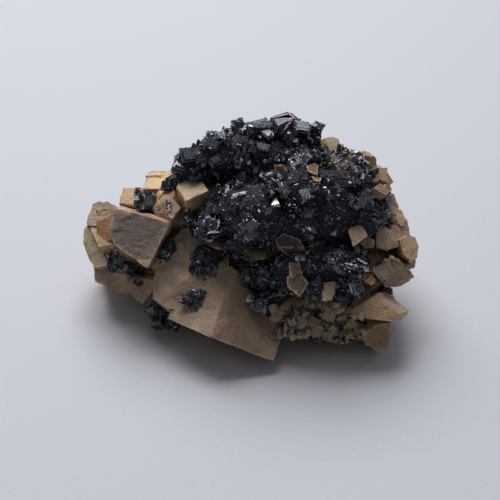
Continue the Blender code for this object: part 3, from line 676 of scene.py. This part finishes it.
def scatterOn(mesh, count, random):
    # random points on triangles, each triangle taken in proportion to its area
    points, faces = mesh[:2]
    a, b, c = (points[faces[:, i]] for i in range(3))
    cross = np.cross(b - a, c - a)
    area = np.linalg.norm(cross, axis=1)
    picked = random.choice(len(faces), count, p=area / area.sum())
    u, v = random.random((2, count))
    flip = u + v > 1
    u = np.where(flip, 1 - u, u)
    v = np.where(flip, 1 - v, v)
    spots = a[picked] + (b - a)[picked] * u[:, None] + (c - a)[picked] * v[:, None]
    return spots, cross[picked] / area[picked][:, None]


def crystalMesh(spots, sizes, stretch, turns, shape):
    # every crystal is the shape, stretched, turned and moved to its spot, as whole arrays
    corners, faces = shape
    grown = corners[None] * stretch[:, None] * sizes[:, None, None]
    placed = np.einsum("nij,nkj->nki", turns, grown) + spots[:, None]
    count = len(corners)
    allFaces = faces[None] + (np.arange(len(spots)) * count)[:, None, None]
    return placed.reshape(-1, 3), allFaces.reshape(-1, 3), grown.reshape(-1, 3)


def oneCrystal(spot, half, turn, shape):
    # a single crystal with these half sizes in mm and turns about x, y and z in degrees
    turned = np.array(Euler([math.radians(angle) for angle in turn]).to_matrix())
    return crystalMesh(spot[None], np.ones(1), np.array([half]), turned[None], shape)


# the druse: black crystals crowded over every black solid, in three sizes, and in blooms on the rock
druse = {
    # each size of crystal: count, radii in mm, how much commoner the small ones are, their shapes by
    # number, the share that leans together, and the least and greatest proportions
    "blocks": {"count": 520, "smallest": 1.4, "largest": 2.7, "skew": 1.6, "shapes": (3, 4, 3, 4, 1),
               "together": 0.6, "stretch": ((0.6, 0.6, 0.5), (1.1, 1.0, 1.1))},
    "coarse": {"count": 5600, "smallest": 0.5, "largest": 1.8, "skew": 2.4, "shapes": (0, 1),
               "together": 0.7, "stretch": ((0.6, 0.4, 0.22), (1.7, 1.1, 0.7))},
    "fine": {"count": 74000, "smallest": 0.18, "largest": 0.6, "skew": 1.5, "together": 0.3,
             "stretch": ((0.55, 0.55, 0.55), (1.3, 1.3, 1.3))},
    "sunk": 0.35,  # share of its radius that a crystal's middle lies under the surface
    "clusterCell": 4.0,  # mm, crystals of one cell lean the same way
    "waver": 0.12,  # how much those of one cell still differ
    "nearRock": 0.3,  # mm, the radius that a crystal may have where it touches the rock
    "farRock": 0.7,  # and what it may gain for each mm of distance
    "clearLarge": {"blocks": 1.15, "coarse": 1.15, "fine": 0.7},  # room round a large crystal, see notBare
    "bloomSizes": (0.9, 1.9),  # grains on the rock grow by a factor between these
    "overBox": 0.6,  # mm that small and large crystals may stand out past the solids' box
    "largeOverBox": 0.8,
    "finePieces": 4,
    "back": {"count": 40000, "cell": 10.0, "bareShare": 0.22, "grow": 1.7},  # patches on the rock's back
    # crystal faces that stay bare: pixel and radius in mm
    "bare": [((275, 200), 2.9), ((376, 177), 3.2), ((311, 168), 1.6), ((277, 170), 1.4), ((287, 246), 2.4)],
    # large crystals: pixel, half sizes in mm, turns about x, y and z in degrees
    "chosen": [
        {"pixel": (283, 121), "half": (3.4, 2.4, 2.6), "turn": (38, -16, 24)},
        {"pixel": (301, 127), "half": (2.8, 2.0, 2.4), "turn": (30, 6, -16)},
        {"pixel": (313, 128), "half": (1.7, 1.5, 2.2), "turn": (10, 8, 30), "shape": 2},
        {"pixel": (258, 126), "half": (3.2, 2.2, 1.4), "turn": (32, -12, 8)},
        {"pixel": (244, 131), "half": (2.6, 1.7, 1.6), "turn": (20, 10, -30)},
        {"pixel": (268, 136), "half": (1.3, 2.0, 2.4), "turn": (18, -20, 40)},
        {"pixel": (236, 148), "half": (1.0, 1.4, 3.6), "turn": (20, 16, 10)},
        {"pixel": (250, 150), "half": (1.1, 1.3, 3.2), "turn": (24, -10, 50)},
        {"pixel": (225, 138), "half": (3.0, 2.0, 2.2), "turn": (26, -6, 14)},
        {"pixel": (212, 146), "half": (2.2, 1.8, 2.6), "turn": (41, 14, -24)},
        {"pixel": (190, 155), "half": (3.0, 2.2, 2.6), "turn": (37, 2, 20)},
        {"pixel": (180, 168), "half": (1.9, 1.6, 2.4), "turn": (14, 12, -20)},
        {"pixel": (204, 165), "half": (2.0, 1.4, 2.2), "turn": (34, 4, 44), "shape": 2},
        {"pixel": (292, 142), "half": (1.6, 1.3, 2.6), "turn": (24, 20, 0)},
        {"pixel": (306, 197), "half": (2.9, 2.7, 2.6), "turn": (23, 8, 38), "sunk": -0.3, "shape": 1},
        {"pixel": (253, 181), "half": (0.8, 0.5, 0.3), "turn": (10, -6, 30), "sunk": -2.6, "shape": 1},
        {"pixel": (297, 185), "half": (0.5, 0.4, 0.3), "turn": (10, -6, 60), "sunk": -2.6, "shape": 1},
        {"pixel": (297, 206), "half": (0.4, 0.4, 0.3), "turn": (10, -6, 10), "sunk": -2.6, "shape": 1},
        {"pixel": (258, 206), "half": (0.4, 0.3, 0.3), "turn": (10, -6, 80), "sunk": -2.6, "shape": 1},
        {"pixel": (232, 134), "half": (2.0, 1.4, 1.2), "turn": (24, 8, 20)},
        {"pixel": (272, 121), "half": (1.6, 1.4, 1.8), "turn": (30, -4, 60)},
        {"pixel": (322, 136), "half": (1.6, 1.2, 1.8), "turn": (24, 14, 30), "shape": 0},
        {"pixel": (262, 148), "half": (2.2, 1.4, 1.8), "turn": (34, 10, -10)},
        {"pixel": (216, 160), "half": (2.4, 1.4, 1.6), "turn": (36, -12, 30)},
        {"pixel": (283, 190), "half": (2.6, 0.7, 0.6), "turn": (9, -8, -52), "sunk": 0.0},
        {"pixel": (244, 194), "half": (3.4, 0.8, 0.7), "turn": (10, 4, 28), "sunk": 0.0},
        {"pixel": (358, 203), "half": (1.2, 1.0, 3.4), "turn": (26, 22, 20), "sunk": 0.1},
        {"pixel": (366, 208), "half": (1.0, 1.2, 3.0), "turn": (22, 30, 0), "sunk": 0.1},
        {"pixel": (336, 232), "half": (2.6, 2.0, 2.4), "turn": (30, 0, 30), "shape": 0},
        {"pixel": (352, 268), "half": (4.6, 1.1, 1.0), "turn": (26, 6, -4), "sunk": 0.0},
        {"pixel": (147, 203), "half": (3.0, 2.2, 2.0), "turn": (36, -6, 16)},
        {"pixel": (341, 301), "half": (2.2, 1.2, 2.0), "turn": (20, 6, 10)},
        {"pixel": (160, 322), "half": (1.8, 1.6, 2.0), "turn": (10, 20, 40), "shape": 0},
    ],
    # black crystals that spread over the rock: middle and half size in pixels, turn, count
    "blooms": [
        {"pixel": (205, 262), "half": (16, 18), "turn": -15, "count": 420},
        {"pixel": (167, 246), "half": (7, 19), "turn": 28, "count": 220},
        {"pixel": (240, 262), "half": (26, 7), "turn": 12, "count": 420},
        {"pixel": (230, 258), "half": (15, 8), "turn": 12, "count": 380, "grow": 1.4},
        {"pixel": (225, 243), "half": (8, 5), "turn": 0, "count": 60},
        {"pixel": (196, 298), "half": (8, 8), "turn": 20, "count": 150},
        {"pixel": (160, 318), "half": (15, 14), "turn": 0, "count": 260},
        {"pixel": (195, 300), "half": (9, 9), "turn": 0, "count": 120},
        {"pixel": (125, 268), "half": (26, 9), "turn": 38, "count": 380},
        {"pixel": (152, 205), "half": (20, 12), "turn": 12, "count": 300},
        {"pixel": (190, 218), "half": (16, 8), "turn": 20, "count": 220},
        {"pixel": (383, 215), "half": (14, 12), "turn": 30, "count": 300},
        {"pixel": (350, 160), "half": (22, 8), "turn": 25, "count": 300},
        {"pixel": (380, 258), "half": (18, 6), "turn": -20, "count": 200},
        {"pixel": (375, 285), "half": (14, 9), "turn": 10, "count": 160},
        {"pixel": (345, 290), "half": (9, 14), "turn": 10, "count": 160},
        {"pixel": (280, 340), "half": (16, 6), "turn": 20, "count": 160},
        {"pixel": (345, 335), "half": (18, 8), "turn": 0, "count": 220},
        {"pixel": (318, 318), "half": (34, 10), "turn": 8, "count": 420, "grow": 2.1},
        {"pixel": (290, 326), "half": (10, 12), "turn": 0, "count": 220, "grow": 2.0},
        {"pixel": (344, 336), "half": (14, 7), "turn": 10, "count": 180, "grow": 2.2},
        {"pixel": (113, 197), "half": (2, 2), "turn": 0, "count": 14},
    ],
}


def castOn(across, down, value):
    # rows for these pixels: the point that the eye sees there, its normal, and the value
    hits = [pixelHit(x, y) for x, y in zip(across, down)]
    return [[*hit, *normal, value] for hit, normal in hits if hit is not None]


def splitRows(rows):
    # such rows as three arrays
    rows = np.array(rows)
    return rows[:, :3], rows[:, 3:6], rows[:, 6]


def bloomSpots(blooms, random):
    # round each bloom's middle, points of an even disc, squeezed and turned, are cast on what the eye sees
    found = []
    for bloom in blooms:
        angle = random.uniform(0, 2 * math.pi, bloom["count"])
        reach = random.random(bloom["count"]) ** 0.6
        wide = np.cos(angle) * reach * bloom["half"][0]
        tall = np.sin(angle) * reach * bloom["half"][1]
        lean = math.radians(bloom["turn"])
        across = bloom["pixel"][0] + wide * math.cos(lean) - tall * math.sin(lean)
        down = bloom["pixel"][1] + wide * math.sin(lean) + tall * math.cos(lean)
        found += castOn(across, down, bloom.get("grow", 1.0))
    return splitRows(found)


def hiddenSpots(mesh, radii, random):
    # points on a mesh where a ball of each radius is out of the eye's sight: its middle and four points
    # round it have rock or black solids between them and the eye; none is near the table or hangs over it
    spots, normals = scatterOn(mesh, len(radii), random)
    way = np.array(camera.location) / mm - spots
    way /= np.linalg.norm(way, axis=1, keepdims=True)
    side = np.array([1.0, 0.0, 0.0])
    kept = (spots[:, 2] > back["lowest"]) & (normals[:, 2] > back["overhang"])
    for across, along in ((0, 0), (1, 0), (-1, 0), (0, 1), (0, -1)):
        rim = spots + (side * across + np.cross(side, way) * along + way * 0.5) * radii[:, None]
        for place in np.flatnonzero(kept):
            ray = (Vector(rim[place]), Vector(way[place]))
            kept[place] = any(tree.ray_cast(*ray)[0] is not None for tree in (rockTree, blackTree))
    return spots[kept], normals[kept], radii[kept]


# the rhombs that crowd the rock's back, grown into each other
back = {
    "count": 11000,
    "smallest": 0.5,  # mm, half size
    "largest": 4.8,
    "skew": 2.8,
    "together": 0.75,
    "reach": 1.5,  # corners of a rhomb lie this many half sizes from its middle
    "sunk": 0.55,
    "lowest": 4.0,  # mm over the table
    "overhang": -0.6,  # the upward part of a face's normal, least
    "tone": "#b79d84",
    "toneShare": 0.35,
}


def makeBack(settings):
    # every rhomb has a radius drawn by skew, turns with its neighbours and lies partly in the rock
    random = np.random.default_rng(23)
    radii = drawSizes(settings, settings["count"], random)
    spots, normals, radii = hiddenSpots(rockMesh, radii * settings["reach"], random)
    radii = radii / settings["reach"]
    turns = leaning(spots, settings["together"], druse, random)
    spots = spots - normals * (radii * settings["sunk"])[:, None]
    stretch = random.uniform(0.7, 1.2, (len(spots), 3))
    points, faces, grown = crystalMesh(spots, radii, stretch, turns, rhombShape)
    made = (np.clip(points, boxLow, boxHigh), faces, grown)
    meshPiece("carbonateRhombsBack", made, carbonate, settings["tone"], settings["toneShare"])
    return made


def openPlaces(spots, normals):
    # how far each spot is from the rock, up to 6 mm, and whether rock covers it within 2.5 mm
    gap = np.full(len(spots), 9.0)
    covered = np.zeros(len(spots), bool)
    for place in range(len(spots)):
        spot = Vector(spots[place])
        found = rockTree.find_nearest(spot, 6.0)
        if found[0] is not None:
            gap[place] = found[3]
        normal = Vector(normals[place])
        covered[place] = rockTree.ray_cast(spot + normal * 0.02, normal, 2.5)[0] is not None
    return gap, covered


def leaning(spots, share, settings, random):
    # crystals of one cell share a turn, but for a slight waver; the others lie anyhow
    count = len(spots)
    ragged = 0.6 * valueNoise(spots, 2.0, 77)[:, None]  # so that the cells' sides aren't flat
    cell = np.floor(spots / settings["clusterCell"] + ragged).astype(np.int64)
    shared = np.stack([hashed(cell, 60 + i) for i in range(4)], axis=1)
    own = random.normal(size=(count, 4))
    together = (random.random(count) < share)[:, None]
    return turnMatrices(np.where(together, shared + own * settings["waver"], own))


def grownCrystals(spots, normals, sizes, shapes, tier, settings, random):
    # sinks each crystal a little, keeps it inside the specimen's box, and returns all as one mesh
    count = len(spots)
    turns = leaning(spots, tier["together"], settings, random)
    stretch = random.uniform(*np.array(tier["stretch"]), (count, 3))
    spots = spots - normals * (sizes * settings["sunk"])[:, None]
    room = sizes[:, None] * 1.05
    spots = np.clip(spots, boxLow + room * 0.9, boxHigh - room * 0.55)
    kind = random.integers(0, len(shapes), count)
    sets = [crystalMesh(spots[kind == i], sizes[kind == i], stretch[kind == i], turns[kind == i], shape)
            for i, shape in enumerate(shapes)]
    points, faces, grown = joined(sets)
    return np.clip(points, boxLow, boxHigh + settings["overBox"]), faces, grown


def notBare(spots, share, settings):
    # drops what would hide a bare face, or a large crystal within this share of its middling half size
    kept = np.ones(len(spots), bool)
    keptClear = settings["bare"] + [(c["pixel"], sorted(c["half"])[1] * share) for c in settings["chosen"]]
    for pixel, radius in keptClear:
        middle = pixelHit(*pixel)[0]
        if middle is not None:
            kept &= np.linalg.norm(spots - middle, axis=1) > radius
    return kept


def drawSizes(tier, count, random):
    # the smallest plus the range times a random share to the power of the skew
    share = random.random(count) ** tier["skew"]
    return tier["smallest"] + (tier["largest"] - tier["smallest"]) * share


def chosenCrystals(settings):
    # the large crystals that the photograph shows: each stands at its pixel with its own size and turn
    made = []
    for crystal in settings["chosen"]:
        spot, normal = pixelHit(*crystal["pixel"])
        if spot is None:
            continue
        spot = spot - normal * min(crystal["half"]) * crystal.get("sunk", 0.3)
        shape = crystalShapes[crystal.get("shape", 3)]
        points, faces, grown = oneCrystal(spot, crystal["half"], crystal["turn"], shape)
        made.append((np.clip(points, boxLow, boxHigh + settings["largeOverBox"]), faces, grown))
    return joined(made)


def makeDruse(settings):
    # the large crystals first, then blocks on the solids and on those, then coarse ones on all of them;
    # the fine ones lie half on the solids and half on the coarser crystals, besides the blooms and the back
    random = np.random.default_rng(41)
    fewer = 1
    grown = chosenCrystals(settings)
    made = [meshPiece("sphaleriteLarge", grown, sphalerite)]
    ground = [blackMesh, grown]
    for name in ("blocks", "coarse"):
        tier = settings[name]
        spots, normals = scatterOn(joined(ground), tier["count"], random)
        gap, covered = openPlaces(spots, normals)
        room = settings["nearRock"] + gap * settings["farRock"]
        sizes = np.minimum(drawSizes(tier, len(spots), random), room)
        kept = ~covered & notBare(spots, settings["clearLarge"][name], settings)
        kept &= sizes > tier["smallest"] * 0.7
        shapes = [crystalShapes[i] for i in tier["shapes"]]
        grown = grownCrystals(spots[kept], normals[kept], sizes[kept], shapes, tier, settings, random)
        ground.append(grown)
        made.append(meshPiece(f"sphalerite{name.title()}", grown, sphalerite))
    fine = settings["fine"]
    half = fine["count"] // fewer // 2
    onSolid = scatterOn(blackMesh, half, random)
    onCoarse = scatterOn(joined(ground[2:]), half, random)
    onRock = bloomSpots(settings["blooms"], random)
    behind = joined([rockMesh, makeBack(back)])
    onBack = hiddenSpots(behind, np.full(settings["back"]["count"], 1.0), random)
    patch = valueNoise(onBack[0], settings["back"]["cell"], 91) > settings["back"]["bareShare"]
    onBack = (onBack[0][patch], onBack[1][patch], np.full(patch.sum(), settings["back"]["grow"]))
    onRock = [np.concatenate(pair) for pair in zip(onBack, onRock)]
    spots = np.concatenate([onSolid[0], onCoarse[0], onRock[0]])
    normals = np.concatenate([onSolid[1], onCoarse[1], onRock[1]])
    covered = openPlaces(spots, normals)[1]
    sizes = drawSizes(fine, len(spots), random)
    sizes[-len(onRock[0]):] *= random.uniform(*settings["bloomSizes"], len(onRock[0])) * onRock[2]
    kept = ~covered & notBare(spots, settings["clearLarge"]["fine"], settings)
    spots, normals, sizes = spots[kept], normals[kept], sizes[kept]
    for number in range(settings["finePieces"]):
        mine = slice(number, None, settings["finePieces"])
        grown = grownCrystals(spots[mine], normals[mine], sizes[mine], [chipShape, splinterShape], fine,
                              settings, random)
        made.append(meshPiece(f"sphaleriteDruse{number + 1}", grown, sphalerite))
    return made


# single small crystals that the photograph shows on the black: a brassy face turned to the window, a rusty
# streak on the highest crystal, a few brown rhombs; half sizes and lift are in mm, turns in degrees
single = {
    "chalcopyriteFace": [
        {"pixel": (275, 201), "half": (1.0, 1.1, 2.6), "lift": 3.9, "turn": (12, -6, 4),
         "shape": "tetrahedron"},
    ],
    "rustyCarbonateStreak": [
        {"pixel": (289, 124), "half": (0.35, 1.7, 0.3), "lift": 1.6, "turn": (24, -14, -48)},
        {"pixel": (286, 128), "half": (0.3, 1.2, 0.3), "lift": 1.5, "turn": (20, -10, -40)},
    ],
    "carbonateRhombsLarge": [
        {"pixel": (377, 180), "half": (3.3, 2.9, 2.6), "lift": 0.4, "turn": (30, 10, 24)},
        {"pixel": (380, 192), "half": (2.4, 1.8, 1.6), "lift": 0.2, "turn": (20, 30, -10)},
        {"pixel": (340, 306), "half": (1.5, 1.9, 1.7), "lift": 0.2, "turn": (40, 0, 30)},
        {"pixel": (358, 312), "half": (2.0, 1.3, 1.7), "lift": 0.2, "turn": (30, -24, 10)},
        {"pixel": (312, 322), "half": (2.2, 1.5, 1.4), "lift": 0.0, "turn": (34, 12, -30)},
        {"pixel": (352, 334), "half": (2.6, 1.2, 1.2), "lift": 0.0, "turn": (26, 18, 34)},
    ],
}


def makeSingles(settings):
    # each crystal stands where its pixel meets the solids, lifted along the line to the eye, so that it
    # keeps its place in the picture; the brassy one is a tetrahedron with one level face, and its lowest
    # corner lies under the farthest one
    corners = np.array([(-1.0, -1.2, 0.0), (1.1, -1.0, 0.0), (-0.1, 1.6, 0.0), (-0.1, 1.6, -1.0)])
    shapes = {"rhomb": rhombShape, "tetrahedron": hullOf(corners)}
    for name, crystals in settings.items():
        grown = []
        for crystal in crystals:
            spot = pixelHit(*crystal["pixel"])[0]
            way = np.array(camera.location) / mm - spot
            way /= np.linalg.norm(way)
            grown.append(oneCrystal(spot + way * crystal["lift"], crystal["half"], crystal["turn"],
                                    shapes[crystal.get("shape", "rhomb")]))
        brassy = name.startswith("chalcopyrite")
        material = chalcopyrite if brassy else rusty if name.startswith("rusty") else carbonate
        meshPiece(name, joined(grown), material, "#b08e6c")


makeSingles(single)
print("single crystals:", sum(len(crystals) for crystals in single.values()))
drusePieces = makeDruse(druse)
print("druse:", sum(len(p.data.polygons) for p in drusePieces), "triangles")


# pale sugar: tiny carbonate grains dusted over the black, and small rhombs where the photograph shows them
sugar = {
    "everywhere": 900,
    "highest": 0.5,  # mm over the surface
    "insideLow": 0.9,  # mm that it stays inside the specimen's box
    "insideHigh": 0.4,
    "size": (0.1, 0.24),  # mm, radius
    "rhombSize": (0.3, 1.0),  # as a share of each spot's largest
    "spots": [
        {"pixel": (300, 150), "spread": 12, "count": 80, "rhombs": 50, "largest": 0.5},
        {"pixel": (340, 160), "spread": 18, "count": 160, "rhombs": 110, "largest": 0.55},
        {"pixel": (352, 176), "spread": 12, "count": 90, "rhombs": 50, "largest": 0.5},
        {"pixel": (262, 192), "spread": 10, "count": 50, "rhombs": 0, "largest": 0.3},
        {"pixel": (318, 326), "spread": 34, "count": 260, "rhombs": 110, "largest": 1.9},
        {"pixel": (340, 336), "spread": 20, "count": 120, "rhombs": 50, "largest": 1.2},
        {"pixel": (326, 305), "spread": 16, "count": 60, "rhombs": 50, "largest": 1.1},
        {"pixel": (300, 250), "spread": 9, "count": 40, "rhombs": 10, "largest": 0.5},
        {"pixel": (398, 262), "spread": 12, "count": 40, "rhombs": 60, "largest": 0.7},
        {"pixel": (196, 298), "spread": 12, "count": 40, "rhombs": 0, "largest": 0.3},
    ],
}


def sugarSpots(settings, share, random):
    # points drawn round each pixel, spread like a bell, and cast on what the eye sees
    found = []
    for spot in settings["spots"]:
        shift = random.normal(size=(spot[share], 2)) * spot["spread"] / 2
        across = spot["pixel"][0] + shift[:, 0]
        down = spot["pixel"][1] + shift[:, 1] * 0.6
        found += castOn(across, down, spot["largest"])
    return splitRows(found)


def makeSugar(settings):
    # sugar and rhombs gather round their spots, and sugar also lies thinly over all the black; a grain's
    # radius is the least plus the range times a random share squared
    random = np.random.default_rng(12)
    made = []
    kinds = (("carbonateSugar", "count", "size", grainShape, dust),
             ("carbonateRhombs", "rhombs", "rhombSize", rhombShape, carbonate))
    for name, share, sizes, shape, material in kinds:
        spots, normals, largest = sugarSpots(settings, share, random)
        if share == "count":
            largest = 1
            more = scatterOn(blackMesh, settings["everywhere"], random)
            spots = np.concatenate([spots, more[0]])
            normals = np.concatenate([normals, more[1]])
            spots = spots + normals * random.uniform(0.0, settings["highest"], len(spots))[:, None]
        count = len(spots)
        low, high = settings[sizes]
        radii = (low + (high - low) * random.random(count) ** 2) * largest
        turns = turnMatrices(random.normal(size=(count, 4)))
        spots = np.clip(spots, boxLow + settings["insideLow"], boxHigh - settings["insideHigh"])
        grown = crystalMesh(spots, radii, random.uniform(0.6, 1.3, (count, 3)), turns, shape)
        made.append(meshPiece(name, grown, material))
    return made


sugarPieces = makeSugar(sugar)
print("sugar:", sum(len(p.data.polygons) for p in sugarPieces), "triangles")


def dressNodes():
    # the black solids under the druse and the brassy crystal stay, with their own finish
    for name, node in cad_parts.items():
        if name.startswith("sphalerite"):
            node.data.materials.clear()
            node.data.materials.append(sphaleriteGround)
        elif name.startswith("chalcopyrite"):
            node.data.materials.clear()
            node.data.materials.append(chalcopyrite)


dressNodes()


# the table: smooth pale card with a faint tooth, and the light of one big window behind it
table = {
    "half": 1.6,  # m
    "card": "#cfd1d4",
    "tooth": "#cdcfd2",
    "toothSize": 1.2,  # mm
    "windowPlace": (-0.13, 0.43, 0.77),
    "windowAim": (0.0, 0.0, 0.02),
    "windowSize": 0.66,
    "windowPower": 8.05,
    "windowColour": "#fbfaff",
    "roomColour": "#d9dfec",
    "roomLight": 0.245,
    "roomLean": (0.35, 1.0, 1.0),  # the room is brighter this way
    "roomDark": 0.2,  # and its light runs between these shares
    "roomBright": 1.45,
}


def makeTable(settings):
    # a square card on the ground, a square window lamp turned to its aim, and a room whose light grows
    # with the direction's dot product with the lean
    half = settings["half"]
    mesh = bpy.data.meshes.new("cardFloor")
    corners = [(-half, -half, 0), (half, -half, 0), (half, half, 0), (-half, half, 0)]
    mesh.from_pydata(corners, [], [(0, 1, 2, 3)])
    floor = bpy.data.objects.new("cardFloor", mesh)
    bpy.context.scene.collection.objects.link(floor)
    made, tree, shader, place = newMaterial("smoothPaleCard")
    tooth = addNode(tree, "TexNoise", {"Vector": place, "Scale": perMm(settings["toothSize"])})
    colour = addNode(tree, "ValToRGB", {"Fac": tooth.outputs["Fac"]},
                     [(0.4, settings["tooth"]), (0.6, settings["card"])])
    tree.links.new(colour.outputs["Color"], shader.inputs["Base Color"])
    shader.inputs["Roughness"].default_value = 0.6
    mesh.materials.append(made)
    window = bpy.data.objects.new("window", bpy.data.lights.new("window", "AREA"))
    window.data.energy = settings["windowPower"]
    window.data.size = settings["windowSize"]
    window.data.color = linear(settings["windowColour"])[:3]
    window.location = settings["windowPlace"]
    aim = Vector(settings["windowAim"]) - Vector(settings["windowPlace"])
    window.rotation_euler = aim.to_track_quat("-Z", "Y").to_euler()
    bpy.context.scene.collection.objects.link(window)
    world = bpy.data.worlds.new("room")
    world.use_nodes = True
    tree = world.node_tree
    way = addNode(tree, "TexCoord").outputs["Generated"]
    sky = addNode(tree, "VectorMath", {0: way, 1: settings["roomLean"]}, operation="DOT_PRODUCT")
    share = addNode(tree, "MapRange", {"Value": sky.outputs["Value"], "From Min": -0.7,
                                       "From Max": 1.3, "To Min": settings["roomDark"],
                                       "To Max": settings["roomBright"]})
    strength = addNode(tree, "Math", {0: share.outputs[0], 1: settings["roomLight"]},
                       operation="MULTIPLY")
    back = tree.nodes["Background"]
    back.inputs["Color"].default_value = linear(settings["roomColour"])
    tree.links.new(strength.outputs[0], back.inputs["Strength"])
    bpy.context.scene.world = world
    bpy.context.scene.view_settings.view_transform = "Standard"


makeTable(table)
print("table and light set")
